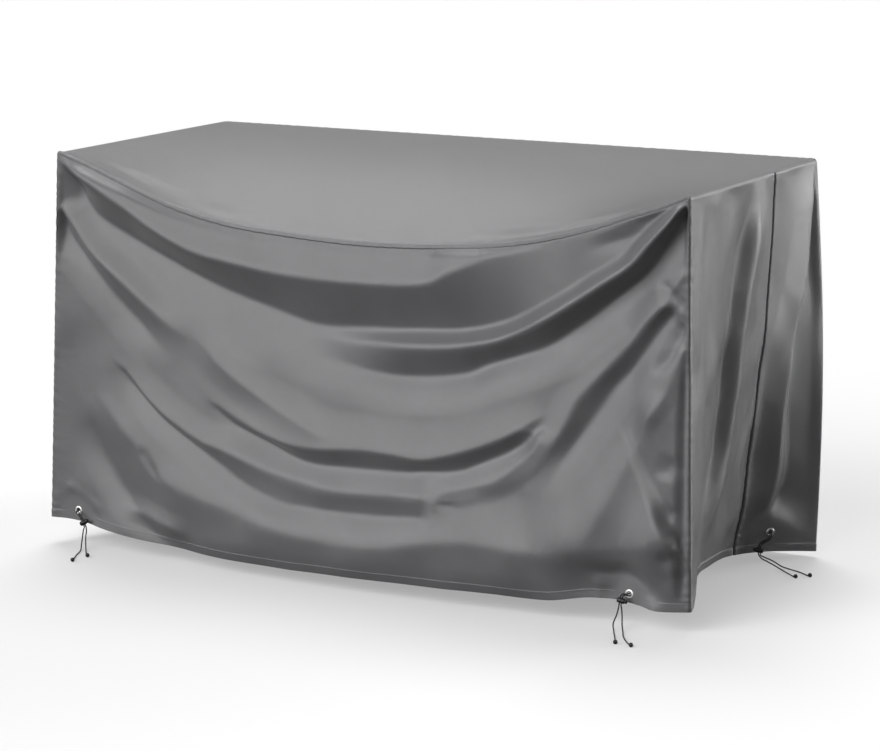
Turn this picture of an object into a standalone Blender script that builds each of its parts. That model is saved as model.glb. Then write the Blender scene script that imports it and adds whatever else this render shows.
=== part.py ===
"""Fitted cover for a three-seat patio sofa: a top cloth that runs down over both sides, a front
panel, a back cloth that wraps round both rear corners, and four eyelets, each with a cord tie.

Metres, +Z up, the front at -Y. The origin is at the middle of the furniture's top, just under
the top cloth.
"""

import bmesh
import bpy
import numpy as np
from mathutils import Matrix, Vector

# The cover, corner to corner across its top, and the height of its rim above the origin.
WIDTH = 1.63
DEPTH = 0.736
RIM = 0.060
CLOTH = 0.0015
SIDE_SEAM = 0.110
TOP_CURVE = 2.2
FRONT_CORNER = 0.25
BACK_CORNER = 0.15
BACK_WAVE = 0.007
BACK_WAVES = 9.0
BACK_PHASE = 0.6
CORNER_GAP = 0.0017
BUTT_GAP = 0.0003

# How finely the cloth is divided.
ROWS = 22
FRONT_COLUMNS = 36
FLAP_COLUMNS = 6
WING_COLUMNS = 4
BACK_COLUMNS = 12
FOLD_STEPS = 8
EYELET_COLUMN = 0.021
COLUMN_CLEAR = 0.0336
WING_COLUMN = 0.31

# Eyelets and the flat of cloth that each is pressed into.
EYELET_RADIUS = 0.0110
EYELET_BORE = 0.0055
EYELET_WALL = 0.0012
EYELET_SLOPE = 0.0012
EYELET_LIP = 0.0008
FLANGE = 0.0009
FLANGE_EDGE = 0.0003
GROOVE = 0.00115
FLAT_RADIUS = 0.036
FLAT_FADE = 0.060
EYELET_STEPS = 16
EYELET_REACH = 0.012
PUNCH_DEPTH = 0.012

# Cord ties.
CORD_RADIUS = 0.0015
CORD_STEP = 0.006
CORD_APART = 0.0024
LOOP_RADIUS = 0.006
LOOP_BACK = 0.012
LOOP_FALL = 0.6
LOOP_ANGLES = (0.05, 0.25, 0.65, 1.1, 1.57)
GAP = 0.0003
BORE_GAP = 0.0005
FLOOR = -0.896
LOCK_PASS = (-0.0105, -0.005, 0.0, 0.005, 0.0100)
LOCK_STEPS = 16
BORE_STEPS = 10
BORE_DEPTH = 0.020
BEAD_LENGTH = 0.014
BEAD_RADIUS = 0.0052
BEAD_TIP = 0.0014
BEAD_WIDEST = 0.62

# Plain finishes.
CLOTH_GREY = (0.215, 0.215, 0.222, 1.0)
NICKEL = (0.80, 0.80, 0.79, 1.0)
BLACK = (0.015, 0.015, 0.016, 1.0)

# The front panel, left to right: its seam to the top, and its hem.
FRONT_NAMES = ("across", "seam_drop", "seam_in", "hem_across", "hem_out", "hem_drop")
FRONT_EDGES = (
    (-0.815, 0.000, 0.000, -0.858, 0.004, 0.894),
    (-0.740, 0.026, 0.004, -0.778, 0.006, 0.893),
    (-0.650, 0.062, 0.011, -0.685, 0.022, 0.902),
    (-0.520, 0.111, 0.020, -0.545, 0.048, 0.912),
    (-0.380, 0.144, 0.027, -0.400, 0.066, 0.918),
    (-0.200, 0.161, 0.033, -0.210, 0.075, 0.920),
    (0.000, 0.168, 0.035, 0.000, 0.075, 0.917),
    (0.200, 0.159, 0.033, 0.205, 0.072, 0.914),
    (0.360, 0.142, 0.028, 0.370, 0.062, 0.912),
    (0.500, 0.112, 0.021, 0.510, 0.046, 0.911),
    (0.600, 0.081, 0.015, 0.612, 0.016, 0.896),
    (0.670, 0.055, 0.010, 0.686, 0.006, 0.899),
    (0.740, 0.031, 0.005, 0.755, 0.024, 0.905),
    (0.815, 0.000, 0.000, 0.833, -0.003, 0.905),
)

# The right side, front to back: where a line leaves the rim, and where it meets the hem. The
# left side mirrors it.
SIDE_NAMES = ("rim_back", "hem_back", "hem_across", "hem_drop")
SIDE_EDGES = (
    (-0.368, -0.365, 0.833, 0.905),
    (-0.250, -0.230, 0.785, 0.900),
    (-0.120, -0.090, 0.730, 0.902),
    (0.000, 0.060, 0.702, 0.914),
    (0.110, 0.190, 0.700, 0.926),
    (0.190, 0.245, 0.735, 0.927),
    (0.280, 0.310, 0.788, 0.933),
    (0.368, 0.374, 0.837, 0.942),
)

# The front falls into bands: each leans in by `depth` from its crest line to its valley line, and
# past them comes back over the reaches `above` and `below`. `round` is how round both lines are,
# and it grows and fades over shares of its length. Lines are (across, drop), and a walker along
# one has the valley on the right hand.
BAND_NAMES = ("depth", "above", "below", "round", "grow", "fade", "crest", "valley")
FRONT_BANDS = (
    # upper swag, from corner to corner
    (0.056, 0.085, 0.130, 0.025, 0.18, 0.22,
     ((-0.805, 0.020), (-0.640, 0.105), (-0.425, 0.210), (-0.205, 0.240), (0.000, 0.245),
      (0.250, 0.200), (0.500, 0.115)),
     ((-0.805, 0.030), (-0.745, 0.110), (-0.640, 0.185), (-0.420, 0.280), (-0.125, 0.360),
      (0.190, 0.350), (0.350, 0.320), (0.500, 0.250))),
    # gully from the right top corner
    (0.040, 0.060, 0.090, 0.025, 0.30, 0.35,
     ((-0.150, 0.385), (0.190, 0.375), (0.375, 0.340), (0.615, 0.200), (0.725, 0.110),
      (0.805, 0.010)),
     ((-0.120, 0.430), (0.150, 0.455), (0.330, 0.410), (0.550, 0.305), (0.640, 0.230),
      (0.765, 0.095), (0.810, 0.020))),
    # second swag: its left arm, and the crescent under its middle
    (0.032, 0.060, 0.080, 0.020, 0.25, 0.35,
     ((-0.810, 0.115), (-0.715, 0.230), (-0.565, 0.340), (-0.445, 0.430)),
     ((-0.810, 0.150), (-0.740, 0.255), (-0.630, 0.360), (-0.440, 0.480))),
    (0.030, 0.080, 0.070, 0.015, 0.22, 0.20,
     ((-0.400, 0.530), (-0.215, 0.615), (0.025, 0.620), (0.255, 0.610), (0.395, 0.555),
      (0.490, 0.490)),
     ((-0.360, 0.570), (-0.200, 0.645), (0.000, 0.670), (0.185, 0.660), (0.325, 0.630),
      (0.495, 0.500))),
    # third swag
    (0.022, 0.060, 0.060, 0.015, 0.15, 0.20,
     ((-0.660, 0.470), (-0.495, 0.605), (-0.325, 0.665), (0.005, 0.720), (0.230, 0.705)),
     ((-0.630, 0.510), (-0.400, 0.670), (-0.255, 0.745), (0.010, 0.775), (0.235, 0.755))),
    # the skirt under the swags, which leans in to the hem
    (0.036, 0.110, 0.060, 0.015, 0.12, 0.12,
     ((-0.720, 0.550), (-0.575, 0.680), (-0.425, 0.770), (-0.200, 0.825), (0.015, 0.840),
      (0.295, 0.800), (0.585, 0.820)),
     ((-0.730, 0.660), (-0.550, 0.870), (-0.300, 0.970), (0.000, 0.980), (0.590, 0.930))),
    # second gully from the right
    (0.022, 0.060, 0.065, 0.020, 0.35, 0.30,
     ((0.440, 0.660), (0.530, 0.525), (0.605, 0.410), (0.685, 0.325), (0.780, 0.220)),
     ((0.470, 0.695), (0.535, 0.595), (0.615, 0.475), (0.725, 0.325), (0.790, 0.240))),
)

# Single folds: the height out of the cloth (a trough's is negative), the reaches to the walker's
# left and right, and the rest as for a band. Lines are (across, drop) on the front, and
# (back, drop) on a side.
FOLD_NAMES = ("height", "left", "right", "round", "grow", "fade", "line")
FRONT_FOLDS = (
    (0.030, 0.280, 0.078, 0.030, 0.30, 0.08,
     ((0.460, 0.800), (0.560, 0.785), (0.660, 0.770), (0.740, 0.750), (0.800, 0.720))),
    (0.010, 0.060, 0.050, 0.003, 0.25, 0.25,
     ((-0.450, 0.390), (-0.300, 0.500), (-0.150, 0.570), (0.000, 0.620))),
    (0.012, 0.045, 0.070, 0.003, 0.10, 0.20,
     ((0.485, 0.520), (0.450, 0.595), (0.305, 0.680), (0.235, 0.715), (0.265, 0.755))),
    (0.012, 0.075, 0.060, 0.010, 0.35, 0.15,
     ((0.560, 0.840), (0.610, 0.740), (0.670, 0.620), (0.720, 0.520), (0.770, 0.410))),
)
SIDE_BANDS = (
    # the long soft fold in the middle of the flap
    (0.034, 0.080, 0.110, 0.010, 0.20, 0.25,
     ((0.040, 0.000), (0.020, 0.100), (-0.010, 0.250), (-0.015, 0.455), (-0.015, 0.615),
      (-0.030, 0.760), (-0.020, 0.900)),
     ((-0.020, 0.000), (-0.035, 0.100), (-0.070, 0.250), (-0.075, 0.455), (-0.075, 0.615),
      (-0.090, 0.760), (-0.080, 0.900))),
)
SIDE_FOLDS = (
    # the roll behind the seam, and the trough behind it
    (0.016, 0.022, 0.070, 0.006, 0.10, 0.18,
     ((0.335, 0.010), (0.280, 0.265), (0.240, 0.575), (0.245, 0.800), (0.225, 0.910))),
    (-0.014, 0.100, 0.022, 0.006, 0.08, 0.10,
     ((0.365, 0.030), (0.325, 0.265), (0.290, 0.575), (0.300, 0.725), (0.270, 0.870))),
)
REAR_BULGE = 0.017
REAR_BULGE_REACH = 0.10
SIDE_PINCH = 1.45
FALL_POWER = 1.5
FRONT_FOLD_EDGE = 0.035
SIDE_FOLD_EDGE = 0.040

# Where each eyelet sits: its panel, along that panel's top edge, and the share of the way down.
EYELETS = {
    "front_left": ("front", -0.735, 0.9715),
    "front_right": ("front", 0.675, 0.978),
    "back_right": ("right", 0.227, 0.948),
    "back_left": ("left", 0.227, 0.948),
}

# A cord lock's outline, from the closed end of its barrel to the end of its button: the distance
# along its axis from its two bores, and the radius there.
LOCK_OUTLINE = (
    (-0.0085, 0.0),
    (-0.0085, 0.0044),
    (-0.0072, 0.0057),
    (0.0074, 0.0060),
    (0.0085, 0.0052),
    (0.0085, 0.0043),
    (0.0134, 0.0041),
    (0.0148, 0.0030),
    (0.0148, 0.0),
)

# Each tie: the stem that its two cords share, from behind the eyelet to the cord lock, the
# lock's middle, the way the cords run through it, the way from one cord to the other at the
# eyelet and in the lock, the side that the button is on, and each cord's free end. The back left
# tie mirrors the back right one.
TIES = {
    "front_left": {
        "stem": ((-0.7705, -0.363, -0.8083), (-0.7716, -0.3745, -0.8082), (-0.7715, -0.382, -0.8086),
                 (-0.765, -0.3885, -0.8105)),
        "lock": (-0.7475, -0.391, -0.8325),
        "along": (0.50, -0.08, -0.86),
        "beside": ((0.80, -0.08, 0.60), (0.86, 0.0, 0.50)),
        "button": 1,
        "ends": {
            "a": ((-0.746, -0.393, -0.848), (-0.749, -0.394, -0.866), (-0.750, -0.397, -0.882),
                  (-0.745, -0.407, -0.8925), (-0.736, -0.424, -0.8945), (-0.7226, -0.4582, -0.8945),
                  (-0.702, -0.500, -0.8945)),
            "b": ((-0.738, -0.393, -0.846), (-0.739, -0.395, -0.866), (-0.736, -0.400, -0.884),
                  (-0.728, -0.411, -0.8935), (-0.7166, -0.4268, -0.8945),
                  (-0.696, -0.451, -0.8945)),
        },
    },
    "front_right": {
        "stem": ((0.6924, -0.3625, -0.8215), (0.6907, -0.3741, -0.8213), (0.6890, -0.3825, -0.8205),
                 (0.6845, -0.3890, -0.8185)),
        "lock": (0.6785, -0.392, -0.8320),
        "along": (-0.16, -0.08, -0.98),
        "beside": ((0.50, -0.07, -0.86), (0.95, 0.03, -0.28)),
        "button": 1,
        "ends": {
            "a": ((0.674, -0.394, -0.848), (0.671, -0.397, -0.864), (0.666, -0.403, -0.882),
                  (0.675, -0.420, -0.8935), (0.693, -0.454, -0.8945), (0.714, -0.496, -0.8945)),
            "b": ((0.681, -0.394, -0.848), (0.684, -0.397, -0.864), (0.688, -0.405, -0.882),
                  (0.697, -0.420, -0.8935), (0.7055, -0.4377, -0.8945), (0.7276, -0.473, -0.8945),
                  (0.751, -0.501, -0.8945)),
        },
    },
    "back_right": {
        "stem": ((0.7496, 0.2755, -0.8200), (0.7588, 0.268, -0.821), (0.7650, 0.2625, -0.8222),
                 (0.7670, 0.2550, -0.8290)),
        "lock": (0.7485, 0.236, -0.8590),
        "along": (0.20, -0.55, -0.81),
        "beside": ((-0.11, -0.28, 0.93), (0.76, 0.53, -0.385)),
        "button": -1,
        "ends": {
            "a": ((0.7555, 0.2270, -0.8735), (0.7735, 0.2205, -0.8785), (0.7951, 0.219, -0.8865),
                  (0.8169, 0.213, -0.8935), (0.840, 0.1946, -0.8945), (0.860, 0.176, -0.8945)),
            "b": ((0.7625, 0.2350, -0.8740), (0.7765, 0.2365, -0.8785), (0.789, 0.2375, -0.8840),
                  (0.804, 0.2385, -0.8915), (0.8205, 0.237, -0.8945), (0.857, 0.2206, -0.8945),
                  (0.8850, 0.2005, -0.8945)),
        },
    },
}


def column(rows, names, name):
    """One named column of a table."""
    return np.array([row[names.index(name)] for row in rows], float)


def curve_through(stations, values, at):
    """Cubic curve through the values; its slope at each is the mean slope beside it."""
    stations = np.asarray(stations, float)
    values = np.asarray(values, float)
    slopes = np.gradient(values, stations)
    at = np.clip(at, stations[0], stations[-1])
    left = np.clip(np.searchsorted(stations, at, side="right") - 1, 0, len(stations) - 2)
    span = stations[left + 1] - stations[left]
    t = (at - stations[left]) / span
    return (
        values[left] * (1 + 2 * t) * (1 - t) ** 2
        + slopes[left] * span * t * (1 - t) ** 2
        + values[left + 1] * t * t * (3 - 2 * t)
        + slopes[left + 1] * span * t * t * (t - 1)
    )


def smooth_step(x):
    """0 below 0, 1 above 1, and an S between."""
    x = np.clip(x, 0.0, 1.0)
    return x * x * (3 - 2 * x)


def nearest_on(line, across, drop):
    """Each point's distance to a smooth line, whether it is on the right of someone walking the
    line, and the share of the line walked where it is nearest."""
    line = np.array(line, float)
    knots = np.arange(len(line))
    fine = np.linspace(0, knots[-1], FOLD_STEPS * knots[-1] + 1)
    path = np.stack([curve_through(knots, line[:, k], fine) for k in (0, 1)], -1)
    step = np.diff(path, axis=0)
    length = np.linalg.norm(step, axis=1)
    travelled = np.concatenate([[0.0], np.cumsum(length)])
    away = np.stack([across, drop], -1)[:, None, :] - path[:-1]
    share = np.clip((away * step).sum(-1) / length**2, 0, 1)
    off = away - share[..., None] * step
    near = np.argmin((off**2).sum(-1), axis=1)
    every = np.arange(len(near))
    off = off[every, near]
    along = (travelled[near] + share[every, near] * length[near]) / travelled[-1]
    on_right = step[near, 0] * off[:, 1] - step[near, 1] * off[:, 0] > 0
    return np.linalg.norm(off, axis=1), on_right, along


def swelling(along, its):
    """How full a fold is along its line: nothing at both ends, full between."""
    return smooth_step(along / its["grow"]) * smooth_step((1 - along) / its["fade"])


def falling(distance, reach):
    """1 at a line, falling to 0 at the reach, ever more gently."""
    return np.clip(1 - distance / reach, 0, 1) ** FALL_POWER


def fold_height(fold, across, drop):
    """A fold's height: full on its rounded line, and falling off over its reach on each side."""
    its = dict(zip(FOLD_NAMES, fold))
    distance, on_right, along = nearest_on(its["line"], across, drop)
    distance = np.hypot(distance, its["round"]) - its["round"]
    reach = np.where(on_right, its["right"], its["left"])
    return its["height"] * swelling(along, its) * falling(distance, reach)


def band_height(band, across, drop):
    """A band's height: half its depth on its crest, falling evenly to as much below on its
    valley, and coming back to nothing over its reaches outside them."""
    its = dict(zip(BAND_NAMES, band))
    crest, past_crest, along = nearest_on(its["crest"], across, drop)
    valley, past_valley, _ = nearest_on(its["valley"], across, drop)
    crest, valley = (np.hypot(distance, its["round"]) - its["round"] for distance in (crest, valley))
    between = 1 - 2 * crest / np.maximum(crest + valley, its["round"])
    level = np.where(past_valley, -falling(valley, its["below"]), between)
    level = np.where(past_crest, level, falling(crest, its["above"]))
    return its["depth"] / 2 * swelling(along, its) * level


def folded(across, drop, folds, bands=()):
    """The heights of all of a panel's folds and bands, added up."""
    return sum(fold_height(fold, across, drop) for fold in folds) + sum(
        band_height(band, across, drop) for band in bands
    )


def front_surface(across, t):
    """Middle of the front panel's cloth, at `across` along its seam and t of the way to its hem."""
    edge = {
        name: curve_through(column(FRONT_EDGES, FRONT_NAMES, "across"),
                            column(FRONT_EDGES, FRONT_NAMES, name), across)
        for name in FRONT_NAMES[1:]
    }
    x = across + (edge["hem_across"] - across) * t
    drop = edge["seam_drop"] * (1 - t) + edge["hem_drop"] * t
    out = edge["hem_out"] * t - edge["seam_in"] * (1 - t)
    below_seam = t * (edge["hem_drop"] - edge["seam_drop"])
    free = smooth_step((WIDTH / 2 - abs(across)) / FRONT_FOLD_EDGE)
    free = free * smooth_step(below_seam / FRONT_FOLD_EDGE)
    out = out + free * folded(x, drop, FRONT_FOLDS, FRONT_BANDS)
    return np.stack([x, -DEPTH / 2 - out, RIM - drop], -1)


def side_surface(side, back, t):
    """Middle of a side's cloth, at `back` along the rim and t of the way to its hem."""
    edge = {
        name: curve_through(column(SIDE_EDGES, SIDE_NAMES, "rim_back"),
                            column(SIDE_EDGES, SIDE_NAMES, name), back)
        for name in SIDE_NAMES[1:]
    }
    corner = dict(zip(FRONT_NAMES, FRONT_EDGES[-1] if side > 0 else FRONT_EDGES[0]))
    own = dict(zip(SIDE_NAMES, SIDE_EDGES[0]))
    near_front = 1 - smooth_step((back + DEPTH / 2) / FRONT_CORNER)
    hem_across = edge["hem_across"] + near_front * (abs(corner["hem_across"]) - own["hem_across"])
    hem_back = edge["hem_back"] + near_front * (-DEPTH / 2 - corner["hem_out"] - own["hem_back"])
    hem_drop = edge["hem_drop"] + near_front * (corner["hem_drop"] - own["hem_drop"])
    y = back + (hem_back - back) * t
    drop = hem_drop * t
    free = smooth_step((DEPTH / 2 - abs(back)) / SIDE_FOLD_EDGE)
    free = free * smooth_step(drop / SIDE_FOLD_EDGE)
    flare = hem_across - WIDTH / 2
    out = flare * np.where(flare < 0, t**SIDE_PINCH, t) + free * folded(y, drop, SIDE_FOLDS, SIDE_BANDS)
    out = out + REAR_BULGE * np.sin(np.pi * t) * np.exp(-(DEPTH / 2 - back) / REAR_BULGE_REACH)
    return np.stack([side * (WIDTH / 2 + out), y, RIM - drop], -1)


def top_surface(across, front):
    """Middle of the top's cloth, at `across` and `front` of the way from its back edge."""
    stations = column(FRONT_EDGES, FRONT_NAMES, "across")
    seam_drop = curve_through(stations, column(FRONT_EDGES, FRONT_NAMES, "seam_drop"), across)
    seam_in = curve_through(stations, column(FRONT_EDGES, FRONT_NAMES, "seam_in"), across)
    y = DEPTH / 2 - front * (DEPTH - seam_in)
    return np.stack([across, y, RIM - seam_drop * front**TOP_CURVE], -1)


def back_surface(across, t):
    """Middle of the back's cloth, at `across` along the rim and t of the way to its hem."""
    corner = dict(zip(SIDE_NAMES, SIDE_EDGES[-1]))
    from_corner = WIDTH / 2 - abs(across)
    x = across * (1 + (corner["hem_across"] / (WIDTH / 2) - 1) * t)
    x = x + np.sign(across) * REAR_BULGE * np.sin(np.pi * t) * np.exp(-from_corner / REAR_BULGE_REACH)
    free = smooth_step(from_corner / BACK_CORNER)
    waves = BACK_WAVE * free * t * np.sin(BACK_WAVES * across + BACK_PHASE)
    y = DEPTH / 2 + (corner["hem_back"] - DEPTH / 2) * t - waves
    return np.stack([x, y, RIM - corner["hem_drop"] * t], -1)


def panel_point(panel, along, t):
    """A point of the panel that an eyelet is set in."""
    along, t = np.atleast_1d(along).astype(float), np.atleast_1d(t).astype(float)
    if panel == "front":
        return front_surface(along, t)
    return side_surface(1.0 if panel == "right" else -1.0, along, t)


def eyelet_seat(name):
    """An eyelet's middle and the cloth's outward direction there."""
    panel, along, t = EYELETS[name]
    middle, right, left, lower, upper = (
        panel_point(panel, along + a * EYELET_REACH, t + d * EYELET_REACH)[0]
        for a, d in ((0, 0), (1, 0), (-1, 0), (0, 1), (0, -1))
    )
    across, down = right - left, lower - upper
    out = np.cross(across, -down)
    if panel == "left":
        out = -out
    return middle, out / np.linalg.norm(out)


def pressed_flat(points, panel):
    """The cloth made flat round each of the panel's eyelets."""
    for name, (its_panel, _, _) in EYELETS.items():
        if its_panel != panel:
            continue
        middle, out = eyelet_seat(name)
        away = points - middle
        far = np.linalg.norm(away, axis=-1)
        share = smooth_step((FLAT_RADIUS + FLAT_FADE - far) / FLAT_FADE)
        points = points - (share * (away @ out))[..., None] * out
    return points


def stations_round(base, middles):
    """Stations with one on each side of every middle, and none nearer to it."""
    kept = [s for s in base if all(abs(s - m) > COLUMN_CLEAR for m in middles)]
    return np.array(sorted(kept + [m + EYELET_COLUMN * side for m in middles for side in (-1, 1)]))


def towards(points, edge, inner, gap):
    """Moves an edge of the grid by the gap towards its inner neighbours."""
    step = points[inner] - points[edge]
    points[edge] += gap * step / np.linalg.norm(step, axis=-1, keepdims=True)


def material(name, colour, roughness, metallic):
    made = bpy.data.materials.new(name)
    made.use_nodes = True
    shader = made.node_tree.nodes["Principled BSDF"]
    shader.inputs["Base Color"].default_value = colour
    shader.inputs["Roughness"].default_value = roughness
    shader.inputs["Metallic"].default_value = metallic
    return made


def add_object(name, mesh, finish, collection):
    made = bpy.data.objects.new(name, mesh)
    if finish:
        mesh.materials.append(finish)
    collection.objects.link(made)
    return made


def cloth_piece(name, points, kept, finish, collection, outward):
    """A cloth of the right thickness on a grid of points; `kept` says which of its faces it has."""
    columns, rows = points.shape[0] - 1, points.shape[1] - 1
    grid = bmesh.new()
    bmesh.ops.create_grid(grid, x_segments=columns, y_segments=rows, size=1.0)
    places = {}
    for vertex in grid.verts:
        i = round((vertex.co.x + 1) / 2 * columns)
        j = round((vertex.co.y + 1) / 2 * rows)
        places[vertex] = (i, j)
    dropped = []
    for face in grid.faces:
        i = min(places[vertex][0] for vertex in face.verts)
        j = min(places[vertex][1] for vertex in face.verts)
        if not kept(i, j):
            dropped.append(face)
    for vertex, (i, j) in places.items():
        vertex.co = Vector(points[i, j])
    bmesh.ops.delete(grid, geom=dropped, context="FACES")
    face = max(grid.faces, key=lambda f: f.calc_center_median().dot(Vector(outward)))
    face.normal_update()
    if face.normal.dot(Vector(outward)) < 0:
        bmesh.ops.reverse_faces(grid, faces=grid.faces[:])
    mesh = bpy.data.meshes.new(name)
    grid.to_mesh(mesh)
    grid.free()
    mesh.shade_smooth()
    made = add_object(name, mesh, finish, collection)
    wall = made.modifiers.new("cloth", "SOLIDIFY")
    wall.thickness = CLOTH
    wall.offset = 0.0
    wall.use_even_offset = True
    return made


def make_front(finish, collection):
    middles = [along for panel, along, _ in EYELETS.values() if panel == "front"]
    across = stations_round(np.linspace(-WIDTH / 2, WIDTH / 2, FRONT_COLUMNS + 1), middles)
    t = np.linspace(0, 1, ROWS + 1)
    grid_across, grid_t = np.meshgrid(across, t, indexing="ij")
    points = front_surface(grid_across.ravel(), grid_t.ravel()).reshape(*grid_t.shape, 3)
    points = pressed_flat(points, "front")
    towards(points, np.s_[0, :], np.s_[1, :], CORNER_GAP)
    towards(points, np.s_[-1, :], np.s_[-2, :], CORNER_GAP)
    towards(points, np.s_[:, 0], np.s_[:, 1], CORNER_GAP)
    return cloth_piece("front_panel", points, lambda i, j: True, finish, collection, (0, -1, 0))


def make_top(finish, collection):
    """The top and its two flaps: one cloth, folded down at the rim on each side."""
    middles = [along for panel, along, _ in EYELETS.values() if panel == "front"]
    across = stations_round(np.linspace(-WIDTH / 2, WIDTH / 2, FRONT_COLUMNS + 1), middles)
    t = np.linspace(0, 1, ROWS + 1)
    rim = np.concatenate([
        np.linspace(-DEPTH / 2, SIDE_SEAM, FLAP_COLUMNS + 1),
        np.linspace(SIDE_SEAM, DEPTH / 2, WING_COLUMNS)[1:],
    ])
    front = (DEPTH / 2 - rim) / DEPTH
    flap_t, flap_rim = np.meshgrid(t[1:], rim, indexing="ij")
    flaps = {
        side: side_surface(side, flap_rim.ravel(), flap_t.ravel()).reshape(*flap_t.shape, 3)
        for side in (-1.0, 1.0)
    }
    top_across, top_front = np.meshgrid(across, front, indexing="ij")
    top = top_surface(top_across.ravel(), top_front.ravel()).reshape(*top_front.shape, 3)
    points = np.concatenate([flaps[-1.0][::-1], top, flaps[1.0]])
    left, right = ROWS, ROWS + len(across) - 1
    towards(points, np.s_[:, 0], np.s_[:, 1], CORNER_GAP)
    towards(points, np.s_[left:right + 1, -1], np.s_[left:right + 1, -2], CORNER_GAP)
    behind = slice(FLAP_COLUMNS + 1, None)
    towards(points, (left, behind), (left + 1, behind), CORNER_GAP)
    towards(points, (right, behind), (right - 1, behind), CORNER_GAP)
    for flap in (np.s_[:left], np.s_[right + 1:]):
        towards(points, (flap, FLAP_COLUMNS), (flap, FLAP_COLUMNS - 1), BUTT_GAP)
    return cloth_piece("top_cloth", points, lambda i, j: left <= i < right or j < FLAP_COLUMNS,
                       finish, collection, (0, 0, 1))


def make_back(finish, collection):
    """The back with its two wings, which reach round the corners to the flaps."""
    middle = EYELETS["back_right"][1]
    rim = [SIDE_SEAM, middle - EYELET_COLUMN, middle + EYELET_COLUMN, WING_COLUMN, DEPTH / 2]
    across = np.linspace(WIDTH / 2, -WIDTH / 2, BACK_COLUMNS + 1)[1:-1]
    t = np.linspace(0, 1, ROWS + 1)
    wing_rim, wing_t = np.meshgrid(rim, t, indexing="ij")
    wings = {}
    for side, panel in ((1.0, "right"), (-1.0, "left")):
        wing = side_surface(side, wing_rim.ravel(), wing_t.ravel()).reshape(*wing_t.shape, 3)
        wings[side] = pressed_flat(wing, panel)
    back_across, back_t = np.meshgrid(across, t, indexing="ij")
    back = back_surface(back_across.ravel(), back_t.ravel()).reshape(*back_t.shape, 3)
    points = np.concatenate([wings[1.0], back, wings[-1.0][::-1]])
    towards(points, np.s_[0, :], np.s_[1, :], BUTT_GAP)
    towards(points, np.s_[-1, :], np.s_[-2, :], BUTT_GAP)
    towards(points, np.s_[:, 0], np.s_[:, 1], CORNER_GAP)
    return cloth_piece("back_cloth", points, lambda i, j: True, finish, collection, (0, 1, 0))


def turned_to(direction, place, beside=None):
    """A placement whose Z runs along the direction, and whose X is as near to `beside` as it can be."""
    z = Vector(direction).normalized()
    x = Vector(beside) if beside is not None else z.orthogonal()
    x = (x - x.dot(z) * z).normalized()
    turn = Matrix((x, z.cross(x), z)).transposed().to_4x4()
    return Matrix.Translation(Vector(place)) @ turn


def make_eyelet(name, finish, collection):
    """A ring with a groove that the cloth sits in: a channel section turned round its bore."""
    top = GROOVE + FLANGE
    barrel = EYELET_BORE + EYELET_WALL
    upper = [(EYELET_BORE, top - EYELET_LIP), (EYELET_BORE + EYELET_LIP, top),
             (EYELET_RADIUS - EYELET_SLOPE, top), (EYELET_RADIUS, GROOVE + FLANGE_EDGE),
             (EYELET_RADIUS, GROOVE), (barrel, GROOVE)]
    section = upper + [(r, -z) for r, z in reversed(upper)]
    profile = bmesh.new()
    ring = [profile.verts.new((r, 0.0, z)) for r, z in section]
    for k, vertex in enumerate(ring):
        profile.edges.new((vertex, ring[(k + 1) % len(ring)]))
    mesh = bpy.data.meshes.new("eyelet_" + name)
    profile.to_mesh(mesh)
    profile.free()
    made = add_object("eyelet_" + name, mesh, finish, collection)
    turn = made.modifiers.new("turned", "SCREW")
    turn.steps = turn.render_steps = EYELET_STEPS
    turn.merge_threshold = 1e-5
    turn.use_merge_vertices = True
    turn.use_smooth_shade = False
    middle, out = eyelet_seat(name)
    made.matrix_world = turned_to(out, middle)
    return made


def punch(cloth, name, cutters):
    """The hole in the cloth that an eyelet's barrel passes through."""
    middle, out = eyelet_seat(name)
    mesh = bpy.data.meshes.new("punch_" + name)
    tool = bmesh.new()
    radius = EYELET_BORE + EYELET_WALL + GAP
    bmesh.ops.create_cone(tool, cap_ends=True, segments=EYELET_STEPS, radius1=radius,
                          radius2=radius, depth=PUNCH_DEPTH)
    tool.to_mesh(mesh)
    tool.free()
    cutter = add_object("punch_" + name, mesh, None, cutters)
    cutter.matrix_world = turned_to(out, middle)
    cutter.hide_render = True
    cutter.display_type = "WIRE"
    cut = cloth.modifiers.new("punch_" + name, "BOOLEAN")
    cut.operation = "DIFFERENCE"
    cut.solver = "EXACT"
    cut.object = cutter


def spaced(route, step):
    """Points a step apart on the smooth curve through a route's own points."""
    route = np.array(route, float)
    knots = np.concatenate([[0.0], np.cumsum(np.linalg.norm(np.diff(route, axis=0), axis=1))])
    count = max(4, round(knots[-1] / step)) + 1
    at = np.linspace(0, knots[-1], count)
    return np.stack([curve_through(knots, route[:, k], at) for k in range(3)], -1)


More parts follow.
